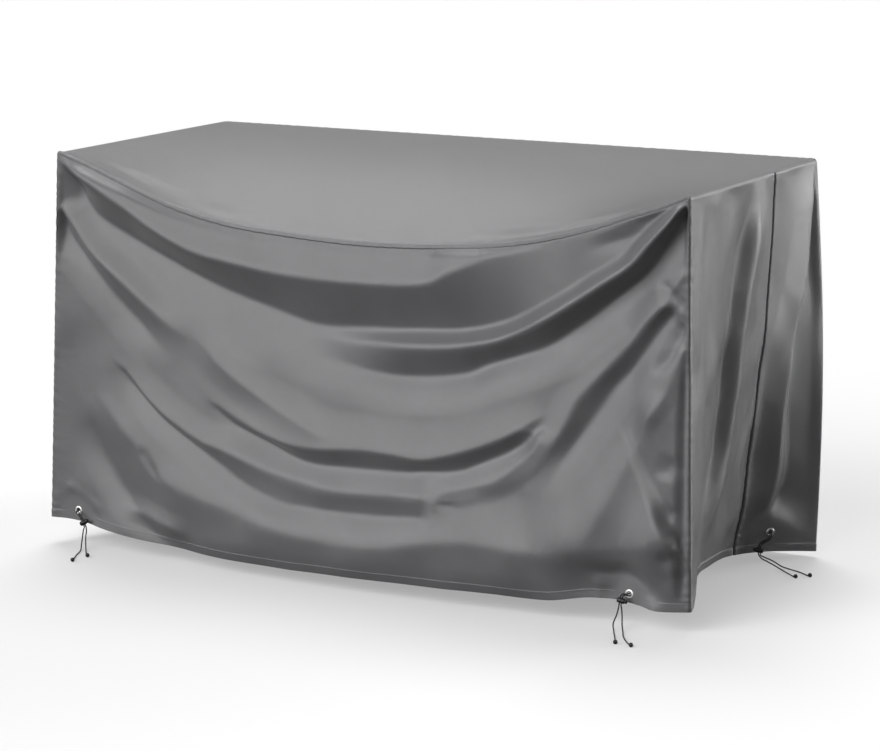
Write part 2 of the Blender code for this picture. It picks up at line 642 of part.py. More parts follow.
def cord_points(tie, end):
    """One cord's middle line: half of the loop that joins it to its twin behind the eyelet, then
    along the stem beside the twin, through the lock, and on to its tip."""
    lock, along = Vector(tie["lock"]), Vector(tie["along"]).normalized()
    apart = CORD_APART if end == "b" else -CORD_APART
    at_eyelet, at_lock = (Vector(way).normalized() * apart for way in tie["beside"])
    route = []
    for k, place in enumerate(tie["stem"]):
        beside = at_eyelet.lerp(at_lock, smooth_step(k / len(tie["stem"])))
        route.append(Vector(place) + beside.normalized() * abs(apart))
    route += [lock + along * passed + at_lock for passed in LOCK_PASS]
    route += [Vector(place) for place in tie["ends"][end]]
    start = Vector(tie["stem"][0])
    inward = (start - Vector(tie["stem"][1])).normalized()
    inward = (inward + Vector((0, 0, -LOOP_FALL))).normalized()
    sideways = at_eyelet.normalized()
    loop = [
        start + inward * (LOOP_BACK + LOOP_RADIUS * np.cos(a)) + sideways * LOOP_RADIUS * np.sin(a)
        for a in LOOP_ANGLES
    ]
    return np.concatenate([np.array(loop[:-1]), spaced(loop[-1:] + route, CORD_STEP)])


def make_cord(name, points, finish, collection):
    curve = bpy.data.curves.new(name, "CURVE")
    curve.dimensions = "3D"
    curve.bevel_depth = CORD_RADIUS
    curve.bevel_resolution = 2
    curve.use_fill_caps = True
    spline = curve.splines.new("POLY")
    spline.points.add(len(points) - 1)
    for point, place in zip(spline.points, points):
        point.co = (*place, 1.0)
    made = bpy.data.objects.new(name, curve)
    curve.materials.append(finish)
    collection.objects.link(made)


def turned_solid(name, outline, steps, finish, collection):
    """A solid turned round its Z axis from an outline of (z, radius) points."""
    profile = bmesh.new()
    points = [profile.verts.new((radius, 0.0, z)) for z, radius in outline]
    for before, after in zip(points, points[1:]):
        profile.edges.new((before, after))
    mesh = bpy.data.meshes.new(name)
    profile.to_mesh(mesh)
    profile.free()
    made = add_object(name, mesh, finish, collection)
    turn = made.modifiers.new("turned", "SCREW")
    turn.steps = turn.render_steps = steps
    turn.merge_threshold = 1e-5
    turn.use_merge_vertices = True
    turn.use_smooth_shade = False
    return made


def make_lock(name, tie, finish, collection, cutters):
    """A barrel and its button, with two bores across them, one for each cord."""
    lock = turned_solid("lock_" + name, LOCK_OUTLINE, LOCK_STEPS, finish, collection)
    axis = Vector(tie["beside"][1]) * tie["button"]
    along = Vector(tie["along"]).normalized()
    axis = axis - axis.dot(along) * along
    lock.matrix_world = turned_to(axis, tie["lock"], along)
    for side in (-1, 1):
        bore_mesh = bpy.data.meshes.new("bore_" + name)
        bore = bmesh.new()
        radius = CORD_RADIUS + BORE_GAP
        bmesh.ops.create_cone(bore, cap_ends=True, segments=BORE_STEPS, radius1=radius,
                              radius2=radius, depth=BORE_DEPTH)
        bore.to_mesh(bore_mesh)
        bore.free()
        cutter = add_object("bore_" + name, bore_mesh, None, cutters)
        beside = Vector(tie["beside"][1]).normalized() * side * CORD_APART
        cutter.matrix_world = turned_to(along, Vector(tie["lock"]) + beside, axis)
        cutter.hide_render = True
        cutter.display_type = "WIRE"
        cut = lock.modifiers.new("bore", "BOOLEAN")
        cut.operation = "DIFFERENCE"
        cut.solver = "EXACT"
        cut.object = cutter


def make_bead(name, tip, before, finish, collection):
    """A teardrop that starts just past the cord's tip and lies on its round end."""
    mesh = bpy.data.meshes.new(name)
    drop = bmesh.new()
    bmesh.ops.create_uvsphere(drop, u_segments=12, v_segments=8, radius=1.0)
    for vertex in drop.verts:
        share = (1 + vertex.co.z) / 2
        swell = BEAD_TIP + (BEAD_RADIUS - BEAD_TIP) * smooth_step(share / BEAD_WIDEST)
        vertex.co.x *= swell
        vertex.co.y *= swell
        vertex.co.z = share * BEAD_LENGTH
    drop.to_mesh(mesh)
    drop.free()
    mesh.shade_smooth()
    heading = Vector(tip) - Vector(before)
    heading.z = 0
    heading = heading.normalized()
    rise = (FLOOR + BEAD_RADIUS + GAP - tip[2]) / (BEAD_WIDEST * BEAD_LENGTH)
    along = (heading * (1 - rise * rise) ** 0.5 + Vector((0, 0, rise))).normalized()
    made = add_object(name, mesh, finish, collection)
    made.matrix_world = turned_to(along, Vector(tip) + heading * GAP * 2)
    return made


def mirrored(tie):
    """The same tie on the other side."""
    def flip(p):
        return (-p[0], p[1], p[2])

    return {
        "stem": [flip(p) for p in tie["stem"]],
        "lock": flip(tie["lock"]),
        "along": flip(tie["along"]),
        "beside": [flip(way) for way in tie["beside"]],
        "button": tie["button"],
        "ends": {end: [flip(p) for p in route] for end, route in tie["ends"].items()},
    }


def build():
    for old in list(bpy.data.objects):
        bpy.data.objects.remove(old, do_unlink=True)
    cover = bpy.data.collections.new("patio_furniture_cover")
    cutters = bpy.data.collections.new("cutters")
    bpy.context.scene.collection.children.link(cover)
    bpy.context.scene.collection.children.link(cutters)
    cloth = material("grey_oxford_cloth", CLOTH_GREY, 0.65, 0.0)
    nickel = material("nickel_plated_brass", NICKEL, 0.3, 1.0)
    black = material("black_cord_and_fittings", BLACK, 0.6, 0.0)

    front = make_front(cloth, cover)
    make_top(cloth, cover)
    back = make_back(cloth, cover)
    ties = dict(TIES, back_left=mirrored(TIES["back_right"]))
    for name, (panel, _, _) in EYELETS.items():
        punch(front if panel == "front" else back, name, cutters)
        make_eyelet(name, nickel, cover)
        make_lock(name, ties[name], black, cover, cutters)
        for end in ("a", "b"):
            points = cord_points(ties[name], end)
            make_cord(f"cord_{name}_{end}", points, black, cover)
            make_bead(f"bead_{name}_{end}", points[-1], points[-2], black, cover)


build()
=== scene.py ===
"""Fitted cover for a three-seat patio sofa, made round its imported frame.

Metres, +Z up, the front at -Y. The origin is at the middle of the furniture's top, just under
the top cloth.
"""

import bpy
import numpy as np
from mathutils import Matrix, Vector


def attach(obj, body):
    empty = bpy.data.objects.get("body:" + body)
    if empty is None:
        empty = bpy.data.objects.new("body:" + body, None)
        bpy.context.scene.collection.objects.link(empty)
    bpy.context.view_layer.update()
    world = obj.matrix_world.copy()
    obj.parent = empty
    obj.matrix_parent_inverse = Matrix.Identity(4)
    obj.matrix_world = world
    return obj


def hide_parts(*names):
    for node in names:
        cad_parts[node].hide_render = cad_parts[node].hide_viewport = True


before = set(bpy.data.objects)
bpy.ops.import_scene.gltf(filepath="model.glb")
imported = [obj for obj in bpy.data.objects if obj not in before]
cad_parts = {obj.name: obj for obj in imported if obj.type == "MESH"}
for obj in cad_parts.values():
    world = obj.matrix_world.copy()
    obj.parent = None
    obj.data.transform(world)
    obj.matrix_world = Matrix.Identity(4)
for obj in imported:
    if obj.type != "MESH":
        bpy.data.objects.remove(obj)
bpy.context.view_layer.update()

# The studio: a camera a little above the cover and to its right, a pale floor that runs out of
# sight, and wide soft suns.
CAMERA_PLACE = (3.1695, -5.8389, 0.8898)
CAMERA_TURN = (78.45, 0.0, 28.35)
LENS = 116.39
SENSOR = 36.0
FLOOR = -0.896
FLOOR_REACH = 90.0
FLOOR_COLOUR = (0.52, 0.52, 0.52, 1.0)
FLOOR_GLOW = 0.36
SUN_NAMES = ("name", "bearing", "height", "spread", "strength")
SUNS = (
    ("overhead", -150.0, 64.0, 35.0, 2.0),
    ("front_high", -15.0, 42.0, 40.0, 1.4),
    ("front_low", -38.0, 18.0, 40.0, 1.6),
    ("front_right", 28.0, 12.0, 40.0, 0.6),
    ("side", 143.0, 6.0, 40.0, 3.4),
)
AMBIENT = 0.02

lens = bpy.data.cameras.new("camera")
lens.lens = LENS
lens.sensor_width = SENSOR
lens.sensor_fit = "HORIZONTAL"
camera = bpy.data.objects.new("camera", lens)
camera.location = CAMERA_PLACE
camera.rotation_euler = np.radians(CAMERA_TURN)
bpy.context.collection.objects.link(camera)
bpy.context.scene.camera = camera
bpy.context.scene.view_settings.view_transform = "Standard"


def add_mesh(name, vertices, faces, finish):
    """A smooth mesh object at the origin, with one material."""
    mesh = bpy.data.meshes.new(name)
    mesh.from_pydata(vertices, [], faces)
    mesh.materials.append(finish)
    mesh.shade_smooth()
    made = bpy.data.objects.new(name, mesh)
    bpy.context.collection.objects.link(made)
    return made


def principled(name, colour, roughness, **sockets):
    """A material with a Principled shader; `sockets` sets more of its inputs by name."""
    made = bpy.data.materials.new(name)
    made.use_nodes = True
    shader = made.node_tree.nodes["Principled BSDF"]
    shader.inputs["Base Color"].default_value = colour
    shader.inputs["Roughness"].default_value = roughness
    for socket, value in sockets.items():
        shader.inputs[socket.replace("_", " ")].default_value = value
    return made, made.node_tree, shader


for sun in SUNS:
    its = dict(zip(SUN_NAMES, sun))
    light = bpy.data.lights.new(its["name"], "SUN")
    light.energy = its["strength"]
    light.angle = np.radians(its["spread"])
    bearing, height = np.radians((its["bearing"], its["height"]))
    level = np.cos(height)
    shine = Vector((-np.sin(bearing) * level, np.cos(bearing) * level, -np.sin(height)))
    lamp = bpy.data.objects.new(its["name"], light)
    lamp.rotation_euler = shine.to_track_quat("-Z", "Y").to_euler()
    bpy.context.collection.objects.link(lamp)

pale, _, _ = principled(
    "pale_floor", FLOOR_COLOUR, 0.9, Specular_IOR_Level=0.0, Emission_Color=(1, 1, 1, 1),
    Emission_Strength=FLOOR_GLOW,
)
reach = FLOOR_REACH
floor = add_mesh(
    "floor",
    [(-reach, -reach, FLOOR), (reach, -reach, FLOOR), (reach, reach, FLOOR), (-reach, reach, FLOOR)],
    [(0, 1, 2, 3)],
    pale,
)
floor.visible_diffuse = False
floor.visible_glossy = False

world = bpy.data.worlds.new("studio")
world.use_nodes = True
bpy.context.scene.world = world
surround = world.node_tree.nodes["Background"]
surround.inputs["Color"].default_value = (1, 1, 1, 1)
surround.inputs["Strength"].default_value = AMBIENT

# The front panel: grey oxford cloth, coated inside, sewn to the top along a curved seam and to
# the flaps down both corners, with a turned double hem. It hangs from its two top corners, so it
# falls into swags between them.
WIDTH = 1.63
DEPTH = 0.736
RIM = 0.060
CLOTH = 0.0015
CLOTH_COLOUR = (0.130, 0.130, 0.135, 1.0)
CLOTH_ROUGHNESS = 0.35
CLOTH_SPECULAR = 1.0
CLOTH_SHEEN = 0.2
CLOTH_SHEEN_ROUGHNESS = 0.4
TONE_SPREAD = 0.10
THREAD_PITCH = 0.0007
# How dark, and how wide, the painted shade along each seam is.
SEAM_PAINTED_SHADE = 0.88
SEAM_PAINTED_SHADE_WIDTH = 0.0038
THREAD_RELIEF = 0.00012
THREAD_STREAKS = 900.0
TONE_BLOTCHES = 55.0
TONE_CLOUDS = 9.0
STITCH_PITCH = 0.0045
STITCH_WIDTH = 0.0007
STITCH_RELIEF = 0.0004
STITCH_INSET = 0.001
STITCH_SHADE = 0.6
SEAM_GAP = 0.0008
SEAM_DEPTH = 0.0060
SEAM_WIDTH = 0.006
SEAM_STATIONS = (0.0, 0.0012, 0.003, 0.005, 0.007, 0.0095, 0.0125, 0.016, 0.021, 0.027)
HEM = 0.019
HEM_RISE = 0.0009
HEM_STATIONS = (0.0, 0.0012, 0.004, 0.009, 0.014, 0.0178, 0.0195, 0.0215, 0.026)
HEM_CURL = 0.006
HEM_CURL_REACH = 0.055
HEM_CURL_ENDS = 0.16
HEM_CURL_EASE = 0.15
PUCKER = 0.0009
PUCKER_REACH = 0.012
PUCKER_SPACING = 0.023
PUCKER_DRIFT = 0.11
EYELET_STATION = 0.002
EYELET_REACH = 0.012
EYELET_HOLE = 0.0082
FLAT_RADIUS = 0.026
FLAT_FADE = 0.050
FRONT_COLUMNS = 262
FRONT_ROWS = 140
FOLD_STEPS = 6
FRONT_FOLD_EDGE = 0.020
FALL_POWER = 1.5
PANEL_HEIGHT = 0.83
EYELET_ROW = 0.975

# Left to right: the seam to the top, and the hem.
FRONT_NAMES = ("across", "seam_drop", "seam_in", "hem_across", "hem_out", "hem_drop")
FRONT_EDGES = (
    (-0.815, 0.000, 0.000, -0.858, 0.004, 0.894),
    (-0.740, 0.026, 0.004, -0.778, 0.006, 0.893),
    (-0.650, 0.062, 0.011, -0.685, 0.022, 0.902),
    (-0.520, 0.111, 0.020, -0.545, 0.048, 0.912),
    (-0.380, 0.144, 0.027, -0.400, 0.066, 0.918),
    (-0.200, 0.161, 0.033, -0.210, 0.075, 0.920),
    (0.000, 0.168, 0.035, 0.000, 0.075, 0.917),
    (0.200, 0.159, 0.033, 0.205, 0.072, 0.914),
    (0.360, 0.142, 0.028, 0.370, 0.062, 0.912),
    (0.500, 0.112, 0.021, 0.510, 0.046, 0.911),
    (0.600, 0.081, 0.015, 0.612, 0.016, 0.896),
    (0.670, 0.055, 0.010, 0.686, 0.006, 0.899),
    (0.740, 0.031, 0.005, 0.755, 0.024, 0.905),
    (0.815, 0.000, 0.000, 0.833, -0.003, 0.905),
)

# The cloth falls into bands: each leans in by `depth` from its crest line to its valley line, and
# past them comes back over the reaches `above` and `below`. `round` is how round both lines are,
# and it grows and fades over shares of its length. Lines are (across, drop), and a walker along
# one has the valley on the right hand.
BAND_NAMES = ("depth", "above", "below", "round", "grow", "fade", "crest", "valley")
FRONT_BANDS = (
    # upper swag, from corner to corner
    (0.056, 0.085, 0.130, 0.006, 0.06, 0.22,
     ((-0.805, 0.020), (-0.725, 0.058), (-0.640, 0.106), (-0.530, 0.169), (-0.425, 0.210),
      (-0.310, 0.228), (-0.205, 0.242), (0.000, 0.247), (0.170, 0.237), (0.250, 0.201),
      (0.385, 0.147), (0.500, 0.113)),
     ((-0.805, 0.029), (-0.765, 0.071), (-0.745, 0.112), (-0.713, 0.148), (-0.640, 0.187),
      (-0.565, 0.221), (-0.420, 0.280), (-0.275, 0.323), (-0.125, 0.358), (0.045, 0.359),
      (0.190, 0.348), (0.280, 0.337), (0.350, 0.319), (0.417, 0.296), (0.500, 0.250))),
    # gully from the right top corner
    (0.050, 0.030, 0.075, 0.008, 0.30, 0.02,
     ((-0.15, 0.385), (0.02, 0.385), (0.190, 0.377), (0.282, 0.366), (0.376, 0.341),
      (0.486, 0.286), (0.617, 0.201), (0.682, 0.156), (0.726, 0.108), (0.771, 0.061),
      (0.807, 0.012)),
     ((-0.12, 0.430), (0.05, 0.455), (0.15, 0.455), (0.266, 0.439), (0.332, 0.410),
      (0.467, 0.359), (0.552, 0.303), (0.642, 0.231), (0.719, 0.165), (0.767, 0.094),
      (0.800, 0.040), (0.811, 0.020))),
    # second swag: its left arm, and the crescent under its middle
    (0.032, 0.050, 0.070, 0.006, 0.10, 0.35,
     ((-0.812, 0.117), (-0.761, 0.183), (-0.717, 0.232), (-0.640, 0.289), (-0.566, 0.340),
      (-0.504, 0.385), (-0.443, 0.431)),
     ((-0.812, 0.150), (-0.790, 0.200), (-0.740, 0.255), (-0.690, 0.305), (-0.630, 0.360),
      (-0.560, 0.418), (-0.500, 0.460), (-0.440, 0.482))),
    (0.030, 0.080, 0.060, 0.005, 0.22, 0.12,
     ((-0.40, 0.53), (-0.33, 0.571), (-0.217, 0.615), (-0.107, 0.632), (0.027, 0.622),
      (0.102, 0.622), (0.185, 0.627), (0.255, 0.611), (0.326, 0.587), (0.396, 0.555),
      (0.460, 0.513), (0.490, 0.490)),
     ((-0.36, 0.57), (-0.30, 0.605), (-0.20, 0.643), (-0.103, 0.672), (0.002, 0.672),
      (0.139, 0.667), (0.185, 0.660), (0.281, 0.648), (0.326, 0.629), (0.396, 0.595),
      (0.445, 0.562), (0.481, 0.524), (0.497, 0.500))),
    # third swag, which ends at the doubled crease
    (0.022, 0.055, 0.045, 0.005, 0.15, 0.05,
     ((-0.66, 0.470), (-0.569, 0.552), (-0.494, 0.603), (-0.399, 0.648), (-0.324, 0.664),
      (-0.209, 0.695), (-0.099, 0.713), (0.006, 0.720), (0.110, 0.714), (0.231, 0.707)),
     ((-0.63, 0.510), (-0.520, 0.605), (-0.400, 0.672), (-0.320, 0.714), (-0.257, 0.744),
      (-0.168, 0.770), (-0.095, 0.772), (0.011, 0.774), (0.115, 0.769), (0.236, 0.757))),
    # the skirt under the swags, which leans in to the hem
    (0.036, 0.110, 0.060, 0.010, 0.12, 0.12,
     ((-0.72, 0.550), (-0.632, 0.632), (-0.573, 0.680), (-0.502, 0.743), (-0.424, 0.771),
      (-0.313, 0.795), (-0.202, 0.823), (-0.091, 0.836), (0.015, 0.838), (0.119, 0.831),
      (0.295, 0.800), (0.476, 0.806), (0.584, 0.822)),
     ((-0.73, 0.66), (-0.65, 0.78), (-0.55, 0.87), (-0.45, 0.93), (-0.30, 0.97), (0.0, 0.98),
      (0.3, 0.97), (0.59, 0.93))),
    # second gully from the right
    (0.024, 0.050, 0.055, 0.006, 0.35, 0.05,
     ((0.440, 0.660), (0.490, 0.590), (0.530, 0.525), (0.558, 0.466), (0.603, 0.412),
      (0.645, 0.368), (0.685, 0.324), (0.733, 0.262), (0.778, 0.220)),
     ((0.471, 0.695), (0.511, 0.640), (0.535, 0.597), (0.584, 0.517), (0.613, 0.474),
      (0.646, 0.424), (0.690, 0.376), (0.726, 0.326), (0.754, 0.285), (0.791, 0.238))),
    # the panel turning back to its right seam
    (0.012, 0.060, 0.008, 0.004, 0.10, 0.20,
     ((0.800, 0.890), (0.797, 0.780), (0.794, 0.700), (0.794, 0.550), (0.799, 0.420),
      (0.806, 0.330)),
     ((0.815, 0.890), (0.814, 0.780), (0.813, 0.700), (0.813, 0.550), (0.813, 0.420),
      (0.813, 0.330))),
)

# Single folds: the height out of the cloth (a trough's is negative), the reaches to the walker's
# left and right, and the rest as for a band. Lines are (across, drop) here, and (back, drop) on a
# side.
FOLD_NAMES = ("height", "left", "right", "round", "grow", "fade", "line")
FRONT_FOLDS = (
    # the lower right, which leans out to a broad swell above the eyelet
    (0.030, 0.280, 0.078, 0.030, 0.30, 0.08,
     ((0.460, 0.800), (0.560, 0.785), (0.660, 0.770), (0.740, 0.750), (0.800, 0.720))),
    # the light ridge of the second swag
    (0.010, 0.060, 0.050, 0.003, 0.25, 0.25,
     ((-0.45, 0.39), (-0.365, 0.457), (-0.299, 0.500), (-0.224, 0.539), (-0.149, 0.571),
      (-0.073, 0.598), (0.0, 0.618))),
    # the broad light ridge of the lower right
    (0.012, 0.075, 0.060, 0.010, 0.35, 0.15,
     ((0.560, 0.840), (0.610, 0.740), (0.668, 0.620), (0.720, 0.520), (0.770, 0.410))),
    # the crease that doubles back from the crescent's right end
    (0.012, 0.045, 0.070, 0.003, 0.10, 0.20,
     ((0.487, 0.520), (0.481, 0.554), (0.449, 0.595), (0.376, 0.655), (0.306, 0.678),
      (0.252, 0.693), (0.235, 0.716), (0.244, 0.737), (0.265, 0.755))),
    # the fan under the right top corner
    (-0.007, 0.030, 0.030, 0.005, 0.3, 0.05,
     ((0.560, 0.140), (0.615, 0.117), (0.681, 0.092), (0.725, 0.056), (0.770, 0.030),
      (0.803, 0.007))),
    (-0.007, 0.025, 0.020, 0.004, 0.3, 0.1,
     ((0.735, 0.395), (0.751, 0.374), (0.776, 0.346), (0.796, 0.302), (0.808, 0.270))),
    (0.007, 0.035, 0.030, 0.004, 0.3, 0.1,
     ((0.700, 0.530), (0.753, 0.453), (0.773, 0.420), (0.793, 0.361), (0.809, 0.312))),
    (-0.005, 0.016, 0.016, 0.003, 0.3, 0.2,
     ((0.736, 0.188), (0.769, 0.203), (0.786, 0.217), (0.807, 0.246))),
    (0.004, 0.016, 0.012, 0.003, 0.3, 0.2, ((0.749, 0.224), (0.777, 0.202), (0.812, 0.156))),
    (-0.006, 0.030, 0.030, 0.006, 0.4, 0.4, ((0.770, 0.620), (0.782, 0.585), (0.800, 0.560))),
    (-0.006, 0.030, 0.030, 0.006, 0.4, 0.4, ((0.772, 0.720), (0.785, 0.690), (0.802, 0.670))),
    (-0.005, 0.025, 0.025, 0.005, 0.4, 0.4, ((0.765, 0.800), (0.790, 0.785), (0.812, 0.770))),
    # small creases at the lower left
    (-0.005, 0.020, 0.014, 0.003, 0.3, 0.4, ((-0.573, 0.678), (-0.536, 0.722), (-0.499, 0.761))),
    (0.010, 0.040, 0.030, 0.005, 0.3, 0.3,
     ((-0.645, 0.834), (-0.548, 0.851), (-0.464, 0.871), (-0.414, 0.888))),
    # the pulls at the two eyelets
    (0.004, 0.020, 0.020, 0.004, 0.2, 0.3, ((-0.815, 0.805), (-0.723, 0.847), (-0.690, 0.868))),
    (-0.009, 0.030, 0.026, 0.005, 0.3, 0.2,
     ((0.584, 0.818), (0.627, 0.836), (0.674, 0.835), (0.719, 0.848), (0.748, 0.874),
      (0.765, 0.901))),
)

# Soft unevenness all over a hanging panel: waves of a height, each with its lengths across and
# down, and how much it bends.
WAVE_NAMES = ("height", "across", "drop", "bend")
WAVES = (
    (0.0012, 0.31, 0.43, 1.3),
    (0.0010, -0.19, 0.37, 0.9),
    (0.0004, 0.13, 0.83, 1.7),
    (0.0002, -0.083, 0.29, 2.1),
)

# Where each eyelet sits: its panel, along that panel's top edge, and the share of the way down.
EYELETS = {
    "front_left": ("front", -0.735, 0.9715),
    "front_right": ("front", 0.675, 0.978),
    "back_right": ("right", 0.227, 0.948),
    "back_left": ("left", 0.227, 0.948),
}


def wire(tree, socket, value):
    """Links a socket to another, or sets it to a plain value."""
    if isinstance(value, bpy.types.NodeSocket):
        tree.links.new(value, socket)
    else:
        socket.default_value = value


def calculate(tree, operation, *values):
    """A Math node's result."""
    node = tree.nodes.new("ShaderNodeMath")
    node.operation = operation
    for socket, value in zip(node.inputs, values):
        wire(tree, socket, value)
    return node.outputs[0]


def sine(tree, value, turn):
    """The sine of a value times an angle."""
    return calculate(tree, "SINE", calculate(tree, "MULTIPLY", value, turn))


def new_group(name, inputs, outputs):
    """An empty shader group with the given sockets, and its input and output nodes."""
    group = bpy.data.node_groups.new(name, "ShaderNodeTree")
    for in_out, sockets in (("INPUT", inputs), ("OUTPUT", outputs)):
        for socket, kind in sockets:
            group.interface.new_socket(socket, in_out=in_out, socket_type="NodeSocket" + kind)
    return group, group.nodes.new("NodeGroupInput"), group.nodes.new("NodeGroupOutput")


def place_group(tree, group, **values):
    """A group's node in a material, with its inputs linked or set."""
    node = tree.nodes.new("ShaderNodeGroup")
    node.node_tree = group
    for name, value in values.items():
        wire(tree, node.inputs[name], value)
    return node


def oxford_weave():
    """Threads crossing in pairs, over and under, and a tone that varies by thread and in clouds."""
    group, given, result = new_group(
        "oxford_weave", (("Place", "Vector"), ("Pitch", "Float")),
        (("Height", "Float"), ("Tone", "Float")),
    )
    parts = group.nodes.new("ShaderNodeSeparateXYZ")
    group.links.new(given.outputs["Place"], parts.inputs[0])
    counts = [calculate(group, "DIVIDE", parts.outputs[k], given.outputs["Pitch"]) for k in (0, 1)]
    ridges = [calculate(group, "ABSOLUTE", sine(group, count, np.pi)) for count in counts]
    pairs = [sine(group, count, np.pi / 2) for count in counts]
    over = calculate(group, "GREATER_THAN", calculate(group, "MULTIPLY", *pairs), 0.0)
    chosen = group.nodes.new("ShaderNodeMix")
    wire(group, chosen.inputs["Factor"], over)
    wire(group, chosen.inputs["A"], ridges[0])
    wire(group, chosen.inputs["B"], ridges[1])
    group.links.new(chosen.outputs["Result"], result.inputs["Height"])
    tones = []
    for scale in (
        (2.0, THREAD_STREAKS, 1.0), (THREAD_STREAKS, 2.0, 1.0),
        (TONE_BLOTCHES, TONE_BLOTCHES, 1.0), (TONE_CLOUDS, TONE_CLOUDS, 1.0),
    ):
        stretched = group.nodes.new("ShaderNodeVectorMath")
        stretched.operation = "MULTIPLY"
        group.links.new(given.outputs["Place"], stretched.inputs[0])
        stretched.inputs[1].default_value = scale
        noise = group.nodes.new("ShaderNodeTexNoise")
        noise.inputs["Scale"].default_value = 1.0
        noise.inputs["Detail"].default_value = 2.0
        group.links.new(stretched.outputs[0], noise.inputs["Vector"])
        tones.append(noise.outputs[0])
    total = calculate(group, "ADD", calculate(group, "ADD", tones[0], tones[1]),
                      calculate(group, "ADD", tones[2], tones[3]))
    group.links.new(calculate(group, "DIVIDE", total, 4.0), result.inputs["Tone"])
    return group


def stitch_row():
    """A row of stitches along one line: a mask of the thread, and its height."""
    group, given, result = new_group(
        "stitch_row",
        (("Off", "Float"), ("Along", "Float"), ("Pitch", "Float"), ("Width", "Float")),
        (("Mask", "Float"), ("Height", "Float")),
    )
    off = calculate(group, "DIVIDE", calculate(group, "ABSOLUTE", given.outputs["Off"]),
                    given.outputs["Width"])
    beat = calculate(group, "DIVIDE", given.outputs["Along"], given.outputs["Pitch"])
    wave = calculate(group, "ABSOLUTE", sine(group, beat, np.pi))
    thread = calculate(group, "MULTIPLY", calculate(group, "LESS_THAN", off, 1.0),
                       calculate(group, "GREATER_THAN", wave, 0.35))
    group.links.new(thread, result.inputs["Mask"])
    swell = calculate(group, "MAXIMUM", calculate(group, "SUBTRACT", 1.0, off), 0.0)
    group.links.new(calculate(group, "MULTIPLY", swell, wave), result.inputs["Height"])
    return group


def shaded_by(colour, share):
    """A colour made lighter or darker by a share, and opaque."""
    return tuple(part * share for part in colour[:3]) + (1.0,)


def cloth_material(weave, stitches):
    """Grey oxford cloth, with a stitched row above its hem, and painted shade that darkens it towards
    black along each seam.
    """
    made, tree, shader = principled(
        "grey_oxford_cloth", CLOTH_COLOUR, CLOTH_ROUGHNESS, Specular_IOR_Level=CLOTH_SPECULAR,
        Sheen_Weight=CLOTH_SHEEN, Sheen_Roughness=CLOTH_SHEEN_ROUGHNESS,
    )
    lengths = tree.nodes.new("ShaderNodeUVMap")
    lengths.uv_map = "lengths"
    woven = place_group(tree, weave, Place=lengths.outputs["UV"], Pitch=THREAD_PITCH)
    hem = tree.nodes.new("ShaderNodeAttribute")
    hem.attribute_name = "hem"
    parts = tree.nodes.new("ShaderNodeSeparateXYZ")
    tree.links.new(lengths.outputs["UV"], parts.inputs[0])
    sewn = place_group(
        tree, stitches, Off=calculate(tree, "SUBTRACT", hem.outputs["Fac"], HEM - STITCH_INSET),
        Along=parts.outputs[0], Pitch=STITCH_PITCH, Width=STITCH_WIDTH,
    )
    toned = tree.nodes.new("ShaderNodeMix")
    toned.data_type = "RGBA"
    wire(tree, toned.inputs["Factor"], woven.outputs["Tone"])
    toned.inputs[6].default_value = shaded_by(CLOTH_COLOUR, 1 - 2 * TONE_SPREAD)
    toned.inputs[7].default_value = shaded_by(CLOTH_COLOUR, 1 + 2 * TONE_SPREAD)
    threaded = tree.nodes.new("ShaderNodeMix")
    threaded.data_type = "RGBA"
    wire(tree, threaded.inputs["Factor"], sewn.outputs["Mask"])
    wire(tree, threaded.inputs[6], toned.outputs[2])
    threaded.inputs[7].default_value = shaded_by(CLOTH_COLOUR, STITCH_SHADE)
    # Painted shade: the colour darkens towards black within a few millimetres of every seam, standing in
    # for the shadow in the seam's groove.
    seam = tree.nodes.new("ShaderNodeAttribute")
    seam.attribute_name = "seam"
    from_seam = calculate(tree, "DIVIDE", seam.outputs["Fac"], SEAM_PAINTED_SHADE_WIDTH)
    painted_shade_near_seam = calculate(tree, "SUBTRACT", 1.0, from_seam)
    painted_seam_shade = tree.nodes.new("ShaderNodeMix")
    painted_seam_shade.data_type = "RGBA"
    painted_shade_share = calculate(tree, "MULTIPLY", calculate(tree, "MAXIMUM", painted_shade_near_seam, 0.0), SEAM_PAINTED_SHADE)
    wire(tree, painted_seam_shade.inputs["Factor"], painted_shade_share)
    wire(tree, painted_seam_shade.inputs[6], threaded.outputs[2])
    painted_seam_shade.inputs[7].default_value = (0, 0, 0, 1)
    tree.links.new(painted_seam_shade.outputs[2], shader.inputs["Base Color"])
    normal = None
    reliefs = ((woven.outputs["Height"], THREAD_RELIEF), (sewn.outputs["Height"], STITCH_RELIEF))
    for height, distance in reliefs:
        bump = tree.nodes.new("ShaderNodeBump")
        bump.inputs["Strength"].default_value = 1.0
        bump.inputs["Distance"].default_value = distance
        tree.links.new(height, bump.inputs["Height"])
        if normal:
            tree.links.new(normal, bump.inputs["Normal"])
        normal = bump.outputs["Normal"]
    tree.links.new(normal, shader.inputs["Normal"])
    return made


def column(rows, names, name):
    """One named column of a table."""
    return np.array([row[names.index(name)] for row in rows], float)


def curve_through(stations, values, at):
    """Cubic curve through the values; its slope at each is the mean slope beside it."""
    stations = np.asarray(stations, float)
    values = np.asarray(values, float)
    slopes = np.gradient(values, stations)
    at = np.clip(at, stations[0], stations[-1])
    left = np.clip(np.searchsorted(stations, at, side="right") - 1, 0, len(stations) - 2)
    span = stations[left + 1] - stations[left]
    t = (at - stations[left]) / span
    return (
        values[left] * (1 + 2 * t) * (1 - t) ** 2
        + slopes[left] * span * t * (1 - t) ** 2
        + values[left + 1] * t * t * (3 - 2 * t)
        + slopes[left + 1] * span * t * t * (t - 1)
    )


def smooth_step(x):
    """0 below 0, 1 above 1, and an S between."""
    x = np.clip(x, 0.0, 1.0)
    return x * x * (3 - 2 * x)


